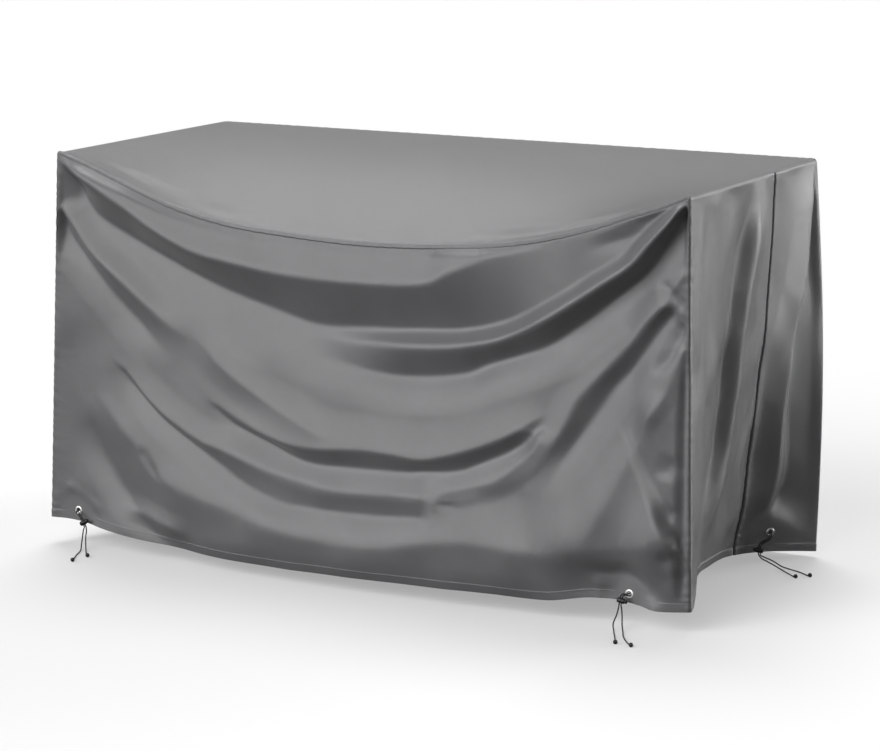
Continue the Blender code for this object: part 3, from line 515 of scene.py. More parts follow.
def nearest_on(line, across, drop):
    """Each point's distance to a smooth line, whether it is on the right of someone walking the
    line, and the share of the line walked where it is nearest."""
    line = np.array(line, float)
    knots = np.arange(len(line))
    fine = np.linspace(0, knots[-1], FOLD_STEPS * knots[-1] + 1)
    path = np.stack([curve_through(knots, line[:, k], fine) for k in (0, 1)], -1)
    step = np.diff(path, axis=0)
    length = np.linalg.norm(step, axis=1)
    travelled = np.concatenate([[0.0], np.cumsum(length)])
    away = np.stack([across, drop], -1)[:, None, :] - path[:-1]
    share = np.clip((away * step).sum(-1) / length**2, 0, 1)
    off = away - share[..., None] * step
    near = np.argmin((off**2).sum(-1), axis=1)
    every = np.arange(len(near))
    off = off[every, near]
    along = (travelled[near] + share[every, near] * length[near]) / travelled[-1]
    on_right = step[near, 0] * off[:, 1] - step[near, 1] * off[:, 0] > 0
    return np.linalg.norm(off, axis=1), on_right, along


def swelling(along, its):
    """How full a fold is along its line: nothing at both ends, full between."""
    return smooth_step(along / its["grow"]) * smooth_step((1 - along) / its["fade"])


def falling(distance, reach):
    """1 at a line, falling to 0 at the reach, ever more gently."""
    return np.clip(1 - distance / reach, 0, 1) ** FALL_POWER


def fold_height(fold, across, drop):
    """A fold's height: full on its rounded line, and falling off over its reach on each side."""
    its = dict(zip(FOLD_NAMES, fold))
    distance, on_right, along = nearest_on(its["line"], across, drop)
    distance = np.hypot(distance, its["round"]) - its["round"]
    reach = np.where(on_right, its["right"], its["left"])
    return its["height"] * swelling(along, its) * falling(distance, reach)


def band_height(band, across, drop):
    """A band's height: half its depth on its crest, falling evenly to as much below on its
    valley, and coming back to nothing over its reaches outside them."""
    its = dict(zip(BAND_NAMES, band))
    crest, past_crest, along = nearest_on(its["crest"], across, drop)
    valley, past_valley, _ = nearest_on(its["valley"], across, drop)
    crest, valley = (np.hypot(distance, its["round"]) - its["round"] for distance in (crest, valley))
    level = np.where(
        past_valley, -falling(valley, its["below"]), 1 - 2 * crest / np.maximum(crest + valley, 1e-9)
    )
    level = np.where(past_crest, level, falling(crest, its["above"]))
    return its["depth"] / 2 * swelling(along, its) * level


def folded(across, drop, folds, bands=()):
    """The heights of all of a panel's folds and bands, added up, for grids of any shape."""
    flat = [fold_height(fold, across.ravel(), drop.ravel()) for fold in folds]
    flat += [band_height(band, across.ravel(), drop.ravel()) for band in bands]
    return np.sum(flat, axis=0).reshape(across.shape)


def unevenness(across, drop):
    """Soft unevenness of a hanging panel, all over it."""
    total = 0.0
    for wave in WAVES:
        its = dict(zip(WAVE_NAMES, wave))
        bend = its["bend"] * np.sin(2 * np.pi * drop / its["drop"])
        turns = across / its["across"] + drop / its["drop"]
        total = total + its["height"] * np.sin(2 * np.pi * turns + bend)
    return total


def turned_in(distance):
    """How far in a sewn edge goes: SEAM_DEPTH at its seam, easing off to SEAM_WIDTH from it."""
    return SEAM_DEPTH * (1 - np.clip(distance / SEAM_WIDTH, 0, 1)) ** 2


def puckers(distance, along):
    """Small gathers along a seam, of a spacing that drifts, fading away from it."""
    drift = 2 * np.sin(2 * np.pi * along / PUCKER_DRIFT)
    wave = np.sin(2 * np.pi * along / PUCKER_SPACING + drift)
    return PUCKER * np.exp(-distance / PUCKER_REACH) * wave


def hem_shape(distance):
    """How far out the hem's doubled cloth stands."""
    return HEM_RISE * smooth_step((HEM + 0.0015 - distance) / 0.003)


def eyelet_seat(name):
    """An eyelet's middle and axis, from its CAD ring; the axis points out of the cover."""
    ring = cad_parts["eyelet_" + name].data.vertices
    corners = np.empty(3 * len(ring))
    ring.foreach_get("co", corners)
    corners = corners.reshape(-1, 3)
    low, high = corners.min(axis=0), corners.max(axis=0)
    middle = (low + high) / 2
    axis = np.linalg.svd(corners - middle, full_matrices=False)[2][2]
    return middle, axis if axis @ (middle * (1, 1, 0)) > 0 else -axis


def pressed_flat(points, panel):
    """The cloth made flat round each of the panel's eyelets."""
    for name, (its_panel, _, _) in EYELETS.items():
        if its_panel == panel:
            middle, out = eyelet_seat(name)
            away = points - middle
            far = np.linalg.norm(away, axis=-1)
            share = smooth_step((FLAT_RADIUS + FLAT_FADE - far) / FLAT_FADE)
            points = points - (share * (away @ out))[..., None] * out
    return points


def stations(low, high, count, near_low=(), near_high=(), middles=(), scale=1.0):
    """Even stations, with closer ones near either end and round each middle. The near distances
    are divided by the scale."""
    near_low, near_high = np.array(near_low) / scale, np.array(near_high) / scale
    inner_low = low + (near_low[-1] if len(near_low) else 0.0)
    inner_high = high - (near_high[-1] if len(near_high) else 0.0)
    even = np.linspace(inner_low, inner_high, count)
    local = np.arange(-EYELET_REACH, EYELET_REACH + 1e-9, EYELET_STATION) / scale
    for middle in middles:
        even = even[abs(even - middle) > (EYELET_REACH + EYELET_STATION) / scale]
        even = np.concatenate([even, middle + local])
    return np.unique(np.round(np.concatenate([low + near_low, even, high - near_high]), 7))


def front_surface(across, t):
    """The front panel's middle, at `across` along its seam and t of the way to its hem."""
    edge = {
        name: curve_through(column(FRONT_EDGES, FRONT_NAMES, "across"),
                            column(FRONT_EDGES, FRONT_NAMES, name), across)
        for name in FRONT_NAMES[1:]
    }
    x = across + (edge["hem_across"] - across) * t
    drop = edge["seam_drop"] * (1 - t) + edge["hem_drop"] * t
    height = edge["hem_drop"] - edge["seam_drop"]
    below, above = t * height, (1 - t) * height
    from_corner = WIDTH / 2 - abs(across)
    out = edge["hem_out"] * t - edge["seam_in"] * (1 - t)
    free = smooth_step(from_corner / FRONT_FOLD_EDGE) * smooth_step(below / FRONT_FOLD_EDGE)
    out = out + free * (folded(x, drop, FRONT_FOLDS, FRONT_BANDS) + unevenness(x, drop))
    out = out + puckers(below, across) + puckers(from_corner, drop)
    out = out - turned_in(from_corner) - turned_in(below) + hem_shape(above)
    curl = np.clip(1 - above / HEM_CURL_REACH, 0, 1) ** 2
    inside = WIDTH / 2 - HEM_CURL_ENDS - abs(across)
    out = out - HEM_CURL * curl * smooth_step(inside / HEM_CURL_EASE)
    return np.stack([x, -DEPTH / 2 - out, RIM - drop], -1), above


def hole_free(points, panel, faces):
    """The faces outside the holes that the panel's eyelets close."""
    middles = points.reshape(-1, 3)[faces].mean(axis=1)
    for name, (its_panel, _, _) in EYELETS.items():
        if its_panel == panel:
            clear = np.linalg.norm(middles - eyelet_seat(name)[0], axis=1) > EYELET_HOLE
            faces, middles = faces[clear], middles[clear]
    return faces


def grid_faces(shape):
    """The quads of a grid of vertices, as rows of four vertex numbers."""
    index = np.arange(shape[0] * shape[1]).reshape(shape)
    corners = (index[:-1, :-1], index[1:, :-1], index[1:, 1:], index[:-1, 1:])
    return np.stack([corner.ravel() for corner in corners], -1)


def add_cloth(name, points, faces, lengths, hem, seam, outward, finish):
    """A cloth of its own thickness on a grid's faces, with its lengths as its UV map, and each
    point's distances to the hem and to the nearest seam as attributes."""
    used, faces = np.unique(faces, return_inverse=True)
    faces = faces.reshape(-1, 4)
    vertices = points.reshape(-1, 3)[used]
    corners = vertices[faces]
    across = np.cross(corners[:, 2] - corners[:, 0], corners[:, 3] - corners[:, 1])
    if (across @ np.array(outward, float)).sum() < 0:
        faces = faces[:, ::-1]
    made = add_mesh(name, vertices, faces, finish)
    mesh = made.data
    at_corner = np.empty(len(mesh.loops), dtype=np.int64)
    mesh.loops.foreach_get("vertex_index", at_corner)
    uv = mesh.uv_layers.new(name="lengths")
    uv.data.foreach_set("uv", lengths.reshape(-1, 2)[used][at_corner].ravel())
    for kind, distance in (("hem", hem), ("seam", seam)):
        mesh.attributes.new(kind, "FLOAT", "POINT").data.foreach_set("value", distance.ravel()[used])
    wall = made.modifiers.new("cloth", "SOLIDIFY")
    wall.thickness = CLOTH
    wall.offset = 0.0
    return made


weave = oxford_weave()
stitches = stitch_row()
grey_cloth = cloth_material(weave, stitches)
front_middles = [along for panel, along, _ in EYELETS.values() if panel == "front"]
across = stations(-WIDTH / 2 + SEAM_GAP, WIDTH / 2 - SEAM_GAP, FRONT_COLUMNS, SEAM_STATIONS,
                  SEAM_STATIONS, front_middles)
t = stations(SEAM_GAP / PANEL_HEIGHT, 1.0, FRONT_ROWS, SEAM_STATIONS, HEM_STATIONS,
             (EYELET_ROW,), PANEL_HEIGHT)
grid_across, grid_t = np.meshgrid(across, t, indexing="ij")
points, above_hem = front_surface(grid_across, grid_t)
points = pressed_flat(points, "front")
faces = hole_free(points, "front", grid_faces(grid_t.shape))
lengths = np.stack([grid_across, RIM - points[..., 2]], -1)
to_seam = np.minimum(grid_t * PANEL_HEIGHT, WIDTH / 2 - abs(grid_across))
front_panel = add_cloth("front_panel_cloth", points, faces, lengths, above_hem, to_seam,
                        (0, -1, 0), grey_cloth)
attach(front_panel, "root")
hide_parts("front_panel")

# The top cloth: one piece of the same cloth that covers the top and folds down over both sides
# as flaps. Its front edge is sewn over the front panel's, and it dips there because nothing
# carries it.
SIDE_SEAM = 0.110
TOP_CURVE = 2.2
RIM_ROUND = 0.010
LIP = 0.0030
LIP_PLACE = 0.008
LIP_WIDTH = 0.006
FRONT_CORNER = 0.25
SIDE_FOLD_EDGE = 0.030
SIDE_PINCH = 1.45
SIDE_SEAM_DEPTH = 0.006
LAP_RISE = 0.002
LAP_REACH = 0.02
FLAP_HEIGHT = 0.91
TOP_COLUMNS = 170
FLAP_ROWS = 118
FLAP_COLUMNS = 62
REAR_COLUMNS = 30
RIM_STATIONS = (0.0, 0.002, 0.004, 0.006, 0.008, 0.010, 0.0125, 0.016, 0.021)

# The right side, front to back: where a line leaves the rim, and where it meets the hem. The
# left side mirrors it.
SIDE_NAMES = ("rim_back", "hem_back", "hem_across", "hem_drop")
SIDE_EDGES = (
    (-0.368, -0.365, 0.833, 0.905),
    (-0.250, -0.230, 0.785, 0.900),
    (-0.120, -0.090, 0.730, 0.902),
    (0.000, 0.060, 0.702, 0.914),
    (0.110, 0.190, 0.700, 0.926),
    (0.190, 0.245, 0.735, 0.927),
    (0.280, 0.310, 0.788, 0.933),
    (0.368, 0.374, 0.837, 0.942),
)
SIDE_BANDS = (
    # the long soft fold in the middle of the flap
    (0.034, 0.080, 0.110, 0.010, 0.20, 0.25,
     ((0.040, 0.000), (0.020, 0.100), (-0.010, 0.250), (-0.015, 0.455), (-0.015, 0.615),
      (-0.030, 0.760), (-0.020, 0.900)),
     ((-0.020, 0.000), (-0.035, 0.100), (-0.070, 0.250), (-0.075, 0.455), (-0.075, 0.615),
      (-0.090, 0.760), (-0.080, 0.900))),
)
SIDE_FOLDS = (
    # gathers by the front corner
    (0.004, 0.030, 0.020, 0.004, 0.20, 0.5,
     ((-0.318, 0.010), (-0.325, 0.150), (-0.320, 0.400), (-0.330, 0.700))),
    (-0.004, 0.022, 0.022, 0.004, 0.20, 0.5,
     ((-0.280, 0.010), (-0.288, 0.150), (-0.285, 0.370), (-0.290, 0.600))),
    (0.004, 0.040, 0.024, 0.006, 0.20, 0.5,
     ((-0.232, 0.010), (-0.240, 0.160), (-0.225, 0.400), (-0.220, 0.700))),
    # the ridge beside the seam's lower half
    (0.007, 0.020, 0.040, 0.004, 0.30, 0.10,
     ((0.110, 0.300), (0.112, 0.405), (0.138, 0.570), (0.128, 0.687), (0.160, 0.880))),
    # the roll behind the seam, and the trough behind it
    (0.016, 0.022, 0.070, 0.006, 0.10, 0.18,
     ((0.335, 0.010), (0.304, 0.108), (0.280, 0.263), (0.250, 0.392), (0.240, 0.576),
      (0.250, 0.726), (0.244, 0.802), (0.234, 0.861), (0.224, 0.910))),
    (-0.014, 0.100, 0.022, 0.006, 0.08, 0.10,
     ((0.366, 0.03), (0.346, 0.12), (0.324, 0.263), (0.296, 0.392), (0.289, 0.576),
      (0.301, 0.726), (0.288, 0.802), (0.268, 0.87))),
)
TOP_FOLDS = (
    (-0.006, 0.030, 0.018, 0.012, 0.3, 0.3,
     ((-0.76, 0.06), (-0.60, 0.06), (-0.45, 0.05), (-0.30, 0.045))),
    (-0.006, 0.030, 0.018, 0.012, 0.3, 0.3,
     ((0.20, 0.045), (0.40, 0.05), (0.60, 0.055), (0.74, 0.06))),
)
REAR_BULGE = 0.017
REAR_BULGE_REACH = 0.10


def rim_turn(distance, below):
    """How far the cloth's round at the rim leaves its sharp corner, sideways and up, at a distance
    from the rim over the top, or below it down the side: a quarter circle, half on each."""
    share = np.clip(distance / RIM_ROUND, 0, 1)
    angle = np.pi / 4 * (1 + share if below else 1 - share)
    reach = RIM_ROUND * share
    sideways = RIM_ROUND * (np.sin(angle) - 1) + (0 if below else reach)
    up = RIM_ROUND * (np.cos(angle) - 1) + (reach if below else 0)
    return sideways, up


def side_surface(side, back, t, behind_seam):
    """A side's middle, at `back` along the rim and t of the way to its hem."""
    edge = {
        name: curve_through(column(SIDE_EDGES, SIDE_NAMES, "rim_back"),
                            column(SIDE_EDGES, SIDE_NAMES, name), back)
        for name in SIDE_NAMES[1:]
    }
    corner = dict(zip(FRONT_NAMES, FRONT_EDGES[-1] if side > 0 else FRONT_EDGES[0]))
    own = dict(zip(SIDE_NAMES, SIDE_EDGES[0]))
    near_front = 1 - smooth_step((back + DEPTH / 2) / FRONT_CORNER)
    hem_across = edge["hem_across"] + near_front * (abs(corner["hem_across"]) - own["hem_across"])
    hem_back = edge["hem_back"] + near_front * (-DEPTH / 2 - corner["hem_out"] - own["hem_back"])
    hem_drop = edge["hem_drop"] + near_front * (corner["hem_drop"] - own["hem_drop"])
    y = back + (hem_back - back) * t
    drop = hem_drop * t
    above = hem_drop - drop
    free = smooth_step((DEPTH / 2 - abs(back)) / SIDE_FOLD_EDGE) * smooth_step(drop / SIDE_FOLD_EDGE)
    flare = hem_across - WIDTH / 2
    out = flare * np.where(flare < 0, t**SIDE_PINCH, t)
    out = out + free * (folded(y, drop, SIDE_FOLDS, SIDE_BANDS) + unevenness(y, drop))
    out = out + REAR_BULGE * np.sin(np.pi * t) * np.exp(-(DEPTH / 2 - back) / REAR_BULGE_REACH)
    from_seam = abs(back - SIDE_SEAM)
    edge_in = SIDE_SEAM_DEPTH * (1 - np.clip(from_seam / SEAM_WIDTH, 0, 1)) ** 2
    lap = LAP_RISE if behind_seam else 0.0
    out = out - edge_in + lap * np.exp(-from_seam / LAP_REACH)
    out = out + puckers(from_seam, drop) + puckers(DEPTH / 2 + back, drop)
    out = out - turned_in(DEPTH / 2 + back) + hem_shape(above)
    sideways, up = rim_turn(drop, True)
    return np.stack([side * (WIDTH / 2 + out + sideways), y, RIM - drop + up], -1), above


def top_surface(across, front):
    """The top's middle, at `across` and `front` of the way from its back edge."""
    places = column(FRONT_EDGES, FRONT_NAMES, "across")
    seam_drop = curve_through(places, column(FRONT_EDGES, FRONT_NAMES, "seam_drop"), across)
    seam_in = curve_through(places, column(FRONT_EDGES, FRONT_NAMES, "seam_in"), across)
    y = DEPTH / 2 - front * (DEPTH - seam_in)
    from_seam = (1 - front) * DEPTH
    z = RIM - seam_drop * front**TOP_CURVE
    z = z + LIP * np.exp(-((from_seam - LIP_PLACE) ** 2) / (2 * LIP_WIDTH**2))
    z = z - turned_in(from_seam) - turned_in(front * DEPTH)
    z = z + folded(across, from_seam, TOP_FOLDS)
    z = z + puckers(from_seam, across) + puckers(front * DEPTH, across)
    sideways, up = rim_turn(WIDTH / 2 - abs(across), False)
    return np.stack([across + np.sign(across) * sideways, y, z + up], -1)


columns = stations(-WIDTH / 2, WIDTH / 2, TOP_COLUMNS, RIM_STATIONS, RIM_STATIONS)
rim = np.concatenate([
    stations(-DEPTH / 2 + SEAM_GAP, SIDE_SEAM - SEAM_GAP, FLAP_COLUMNS, SEAM_STATIONS,
             SEAM_STATIONS),
    stations(SIDE_SEAM + SEAM_GAP, DEPTH / 2 - SEAM_GAP, REAR_COLUMNS, (), SEAM_STATIONS),
])
flap_columns = int((rim < SIDE_SEAM).sum())
t = stations(0.0, 1.0, FLAP_ROWS, RIM_STATIONS, HEM_STATIONS, (), FLAP_HEIGHT)[1:]
flap_t, flap_rim = np.meshgrid(t, rim, indexing="ij")
flaps = {side: side_surface(side, flap_rim, flap_t, False) for side in (-1.0, 1.0)}
top_across, top_front = np.meshgrid(columns, (DEPTH / 2 - rim) / DEPTH, indexing="ij")
top = top_surface(top_across, top_front)
points = np.concatenate([flaps[-1.0][0][::-1], top, flaps[1.0][0]])
above_hem = np.concatenate([flaps[-1.0][1][::-1], np.full(top_front.shape, 1.0), flaps[1.0][1]])
run = np.concatenate([-WIDTH / 2 - FLAP_HEIGHT * t[::-1], columns, WIDTH / 2 + FLAP_HEIGHT * t])
lengths = np.stack(np.meshgrid(rim, run, indexing="xy"), -1)
faces = grid_faces(points.shape[:2])
place = faces.min(axis=1)
row, at_rim = place // len(rim), place % len(rim)
on_top = (row >= len(t)) & (row < len(t) + len(columns) - 1)
faces = faces[on_top | (at_rim < flap_columns - 1)]
from_front = np.broadcast_to(rim + DEPTH / 2, above_hem.shape)
on_side = abs(run) > WIDTH / 2
to_seam = np.where(on_side[:, None], np.minimum(from_front, abs(rim - SIDE_SEAM)), from_front)
top_cloth = add_cloth("top_and_flaps_cloth", points, faces, lengths, above_hem, to_seam,
                      (0, 0, 1), grey_cloth)
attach(top_cloth, "root")
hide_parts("top_cloth")

# The back cloth: the same cloth, sewn to the top along the rear of the rim, with a wing that
# reaches round each rear corner to the flap's seam.
BACK_CORNER = 0.15
BACK_WAVE = 0.007
BACK_WAVES = 9.0
BACK_PHASE = 0.6
WING_COLUMNS = 34
BACK_COLUMNS = 150
BACK_ROWS = 104
BACK_HEIGHT = 0.92
BACK_DROP = SIDE_EDGES[-1][SIDE_NAMES.index("hem_drop")]
BACK_FOLDS = (
    (0.008, 0.11, 0.09, 0.04, 0.35, 0.06, ((-0.62, 0.06), (-0.57, 0.35), (-0.59, 0.95))),
    (-0.006, 0.09, 0.11, 0.04, 0.40, 0.06, ((-0.40, 0.10), (-0.36, 0.40), (-0.33, 0.95))),
    (0.007, 0.12, 0.10, 0.05, 0.30, 0.08, ((-0.10, 0.05), (-0.13, 0.45), (-0.07, 0.95))),
    (-0.007, 0.10, 0.10, 0.04, 0.45, 0.06, ((0.16, 0.12), (0.21, 0.40), (0.18, 0.95))),
    (0.008, 0.09, 0.12, 0.05, 0.35, 0.06, ((0.42, 0.05), (0.38, 0.42), (0.43, 0.95))),
    (-0.006, 0.10, 0.08, 0.04, 0.40, 0.06, ((0.65, 0.08), (0.62, 0.42), (0.60, 0.95))),
)


def back_surface(across, t):
    """The back's middle, at `across` along the rim and t of the way to its hem."""
    corner = dict(zip(SIDE_NAMES, SIDE_EDGES[-1]))
    from_corner = WIDTH / 2 - abs(across)
    x = across * (1 + (corner["hem_across"] / (WIDTH / 2) - 1) * t)
    bulge = REAR_BULGE * np.sin(np.pi * t) * np.exp(-from_corner / REAR_BULGE_REACH)
    x = x + np.sign(across) * bulge
    drop = BACK_DROP * t
    free = smooth_step(from_corner / BACK_CORNER)
    waves = BACK_WAVE * free * t * np.sin(BACK_WAVES * across + BACK_PHASE)
    out = (corner["hem_back"] - DEPTH / 2) * t - waves
    out = out + free * smooth_step(drop / SIDE_FOLD_EDGE) * folded(across, drop, BACK_FOLDS)
    above = BACK_DROP - drop
    out = out + puckers(drop, across) - turned_in(drop) + hem_shape(above)
    return np.stack([x, DEPTH / 2 + out, RIM - drop], -1), above


wing_rim = stations(SIDE_SEAM + SEAM_GAP, DEPTH / 2, WING_COLUMNS, SEAM_STATIONS, RIM_STATIONS,
                    [EYELETS["back_right"][1]])
back_across = stations(-WIDTH / 2, WIDTH / 2, BACK_COLUMNS, RIM_STATIONS, RIM_STATIONS)[1:-1]
t = stations(SEAM_GAP / BACK_HEIGHT, 1.0, BACK_ROWS, SEAM_STATIONS, HEM_STATIONS,
             [EYELETS["back_right"][2]], BACK_HEIGHT)
grid_rim, grid_t = np.meshgrid(wing_rim, t, indexing="ij")
wings = {side: side_surface(side, grid_rim, grid_t, True) for side in (-1.0, 1.0)}
grid_back, grid_back_t = np.meshgrid(back_across[::-1], t, indexing="ij")
back, back_hem = back_surface(grid_back, grid_back_t)
points = np.concatenate([
    pressed_flat(wings[1.0][0], "right"), back, pressed_flat(wings[-1.0][0], "left")[::-1],
])
above_hem = np.concatenate([wings[1.0][1], back_hem, wings[-1.0][1][::-1]])
run = np.concatenate([wing_rim, DEPTH / 2 + WIDTH / 2 - back_across[::-1],
                      DEPTH + WIDTH - wing_rim[::-1]])
lengths = np.stack(np.meshgrid(run, t * BACK_DROP, indexing="ij"), -1)
faces = grid_faces(points.shape[:2])
for panel in ("right", "left"):
    faces = hole_free(points, panel, faces)
from_end = np.minimum(run - run[0], run[-1] - run)[:, None]
to_seam = np.minimum(from_end, t * BACK_DROP)
back_cloth = add_cloth("back_and_wings_cloth", points, faces, lengths, above_hem, to_seam,
                       (0, 1, 0), grey_cloth)
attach(back_cloth, "root")
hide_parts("back_cloth")

# Eyelets: nickel-plated brass rings in two halves, rolled together through the cloth.
RING_RADIUS = 0.0110
RING_BORE = 0.0055
RING_WALL = 0.0012
RING_RISE = 0.0021
RING_GROOVE = 0.00085
RING_STEPS = 72
NICKEL_COLOUR = (0.92, 0.92, 0.90, 1.0)
NICKEL_ROUGHNESS = (0.36, 0.55)
SCUFF_SCALE = 900.0


def turned_to(direction, place, beside=None):
    """A placement whose Z runs along the direction, its X as near to `beside` as it can be."""
    z = Vector(direction).normalized()
    x = Vector(beside) if beside is not None else z.orthogonal()
    x = (x - x.dot(z) * z).normalized()
    turn = Matrix((x, z.cross(x), z)).transposed().to_4x4()
    return Matrix.Translation(Vector(place)) @ turn


def turned_ring(section, steps):
    """A ring turned about Z from a closed section of (radius, z) points."""
    section = np.array(section, float)
    angle = np.linspace(0, 2 * np.pi, steps, endpoint=False)[:, None]
    radius, z = section[:, 0], section[:, 1]
    points = np.stack([radius * np.cos(angle), radius * np.sin(angle), z + 0 * angle], -1)
    index = np.arange(points.shape[0] * points.shape[1]).reshape(points.shape[:2])
    along, around = np.roll(index, -1, axis=1), np.roll(index, -1, axis=0)
    both = np.roll(around, -1, axis=1)
    return points.reshape(-1, 3), np.stack([index, around, both, along], -1).reshape(-1, 4)


nickel, tree, shader = principled("nickel_plated_brass", NICKEL_COLOUR, NICKEL_ROUGHNESS[0], Metallic=1.0)
scuffs = tree.nodes.new("ShaderNodeTexNoise")
scuffs.inputs["Scale"].default_value = SCUFF_SCALE
place_of = tree.nodes.new("ShaderNodeTexCoord")
tree.links.new(place_of.outputs["Object"], scuffs.inputs["Vector"])
rough = tree.nodes.new("ShaderNodeMapRange")
rough.inputs["To Min"].default_value, rough.inputs["To Max"].default_value = NICKEL_ROUGHNESS
tree.links.new(scuffs.outputs[0], rough.inputs["Value"])
tree.links.new(rough.outputs["Result"], shader.inputs["Roughness"])

barrel = RING_BORE + RING_WALL
crown = (RING_RADIUS + barrel) / 2
half = [(RING_BORE, 0.0), (RING_BORE, 0.6 * RING_RISE), (RING_BORE + 0.0005, 0.86 * RING_RISE),
        (barrel + 0.0002, RING_RISE), (crown, 0.99 * RING_RISE),
        (RING_RADIUS - 0.0011, 0.86 * RING_RISE), (RING_RADIUS - 0.0003, 0.68 * RING_RISE),
        (RING_RADIUS, 0.55 * RING_RISE), (RING_RADIUS - 0.0002, RING_GROOVE), (barrel, RING_GROOVE)]
section = half + [(r, -z) for r, z in reversed(half[1:])]
for name in EYELETS:
    vertices, faces = turned_ring(section, RING_STEPS)
    ring = add_mesh("ring_" + name, vertices, faces, nickel)
    middle, out = eyelet_seat(name)
    ring.data.transform(turned_to(out, middle))
    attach(ring, "root")
    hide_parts("eyelet_" + name)

# Ties: a thin black braided cord doubled through each eyelet, both ends through a cord lock and
# into a teardrop end piece. The lock is a moulded barrel with a spring button.
CORD_RADIUS = 0.0015
CORD_STEP = 0.0012
CORD_APART = 0.0024
CORD_SIDES = 14
LOOP_RADIUS = 0.006
LOOP_BACK = 0.012
LOOP_FALL = 0.6
LOOP_ANGLES = (0.05, 0.25, 0.65, 1.1, 1.57)
GAP = 0.0003
BORE_GAP = 0.0004
LOCK_PASS = (-0.0105, -0.005, 0.0, 0.005, 0.0100)
LOCK_STEPS = 56
BEAD_LENGTH = 0.014
BEAD_RADIUS = 0.0052
BEAD_TIP = 0.0017
BEAD_WIDEST = 0.62
BEAD_STEPS = 36
BLACK = (0.012, 0.012, 0.013, 1.0)
# The braid's colour: painted shade in the hollows between its strands, and lighter on their crests.
BLACK_PAINTED_SHADE_IN_BRAID = (0.006, 0.006, 0.006, 1)
BLACK_ON_BRAID = (0.024, 0.024, 0.025, 1)
BLACK_PLASTIC = (0.014, 0.014, 0.015, 1)
BRAID_STRANDS = 8.0
BRAID_PITCH = 0.0011
BRAID_RELIEF = 0.0003
GRAIN_SCALE = 2500.0
GRAIN_RELIEF = 0.00008
BORE_STATIONS = (-0.012, -0.004, 0.004, 0.012)
BORE_SIDES = 24
BEAD_STATIONS = 22
LOCK_OUTLINE = (
    (-0.0085, 0.0), (-0.0085, 0.0040), (-0.0082, 0.0049), (-0.0072, 0.0056), (-0.0060, 0.0058),
    (-0.0052, 0.0054), (-0.0044, 0.0058), (-0.0010, 0.0059), (0.0040, 0.0060), (0.0048, 0.0056),
    (0.0056, 0.0060), (0.0074, 0.0060), (0.0082, 0.0056), (0.0085, 0.0049), (0.0085, 0.0043),
    (0.0088, 0.0042), (0.0128, 0.0041), (0.0140, 0.0037), (0.0148, 0.0028), (0.0149, 0.0),
)

# Each tie: the stem that its two cords share, from behind the eyelet to the cord lock, the
# lock's middle, the way the cords run through it, the way from one cord to the other at the
# eyelet and in the lock, the side that the button is on, and each cord's free end.
TIES = {
    "front_left": {
        "stem": ((-0.7705, -0.363, -0.8083), (-0.7716, -0.3745, -0.8082), (-0.7715, -0.382, -0.8086),
                 (-0.765, -0.3885, -0.8105)),
        "lock": (-0.7475, -0.391, -0.8325),
        "along": (0.50, -0.08, -0.86),
        "beside": ((0.80, -0.08, 0.60), (0.86, 0.0, 0.50)),
        "button": 1,
        "ends": {
            "a": ((-0.746, -0.393, -0.848), (-0.749, -0.394, -0.866), (-0.750, -0.397, -0.882),
                  (-0.745, -0.407, -0.8925), (-0.736, -0.424, -0.8945), (-0.7226, -0.4582, -0.8945),
                  (-0.702, -0.500, -0.8945)),
            "b": ((-0.738, -0.393, -0.846), (-0.739, -0.395, -0.866), (-0.736, -0.400, -0.884),
                  (-0.728, -0.411, -0.8935), (-0.7166, -0.4268, -0.8945),
                  (-0.696, -0.451, -0.8945)),
        },
    },
    "front_right": {
        "stem": ((0.6924, -0.3625, -0.8215), (0.6907, -0.3741, -0.8213), (0.6890, -0.3825, -0.8205),
                 (0.6845, -0.3890, -0.8185)),
        "lock": (0.6785, -0.392, -0.8320),
        "along": (-0.16, -0.08, -0.98),
        "beside": ((0.50, -0.07, -0.86), (0.95, 0.03, -0.28)),
        "button": 1,
        "ends": {
            "a": ((0.674, -0.394, -0.848), (0.671, -0.397, -0.864), (0.666, -0.403, -0.882),
                  (0.675, -0.420, -0.8935), (0.693, -0.454, -0.8945), (0.714, -0.496, -0.8945)),
            "b": ((0.681, -0.394, -0.848), (0.684, -0.397, -0.864), (0.688, -0.405, -0.882),
                  (0.697, -0.420, -0.8935), (0.7055, -0.4377, -0.8945), (0.7276, -0.473, -0.8945),
                  (0.751, -0.501, -0.8945)),
        },
    },
    "back_right": {
        "stem": ((0.7496, 0.2755, -0.8200), (0.7588, 0.268, -0.821), (0.7650, 0.2625, -0.8222),
                 (0.7670, 0.2550, -0.8290)),
        "lock": (0.7485, 0.236, -0.8590),
        "along": (0.20, -0.55, -0.81),
        "beside": ((-0.11, -0.28, 0.93), (0.76, 0.53, -0.385)),
        "button": -1,
        "ends": {
            "a": ((0.7555, 0.2270, -0.8735), (0.7735, 0.2205, -0.8785), (0.7951, 0.219, -0.8865),
                  (0.8169, 0.213, -0.8935), (0.840, 0.1946, -0.8945), (0.860, 0.176, -0.8945)),
            "b": ((0.7625, 0.2350, -0.8740), (0.7765, 0.2365, -0.8785), (0.789, 0.2375, -0.8840),
                  (0.804, 0.2385, -0.8915), (0.8205, 0.237, -0.8945), (0.857, 0.2206, -0.8945),
                  (0.8850, 0.2005, -0.8945)),
        },
    },
}


def mirrored(tie):
    """The same tie on the other side."""
    def flip(p):
        return (-p[0], p[1], p[2])

    return {
        "stem": [flip(p) for p in tie["stem"]],
        "lock": flip(tie["lock"]),
        "along": flip(tie["along"]),
        "beside": [flip(way) for way in tie["beside"]],
        "button": tie["button"],
        "ends": {end: [flip(p) for p in route] for end, route in tie["ends"].items()},
    }


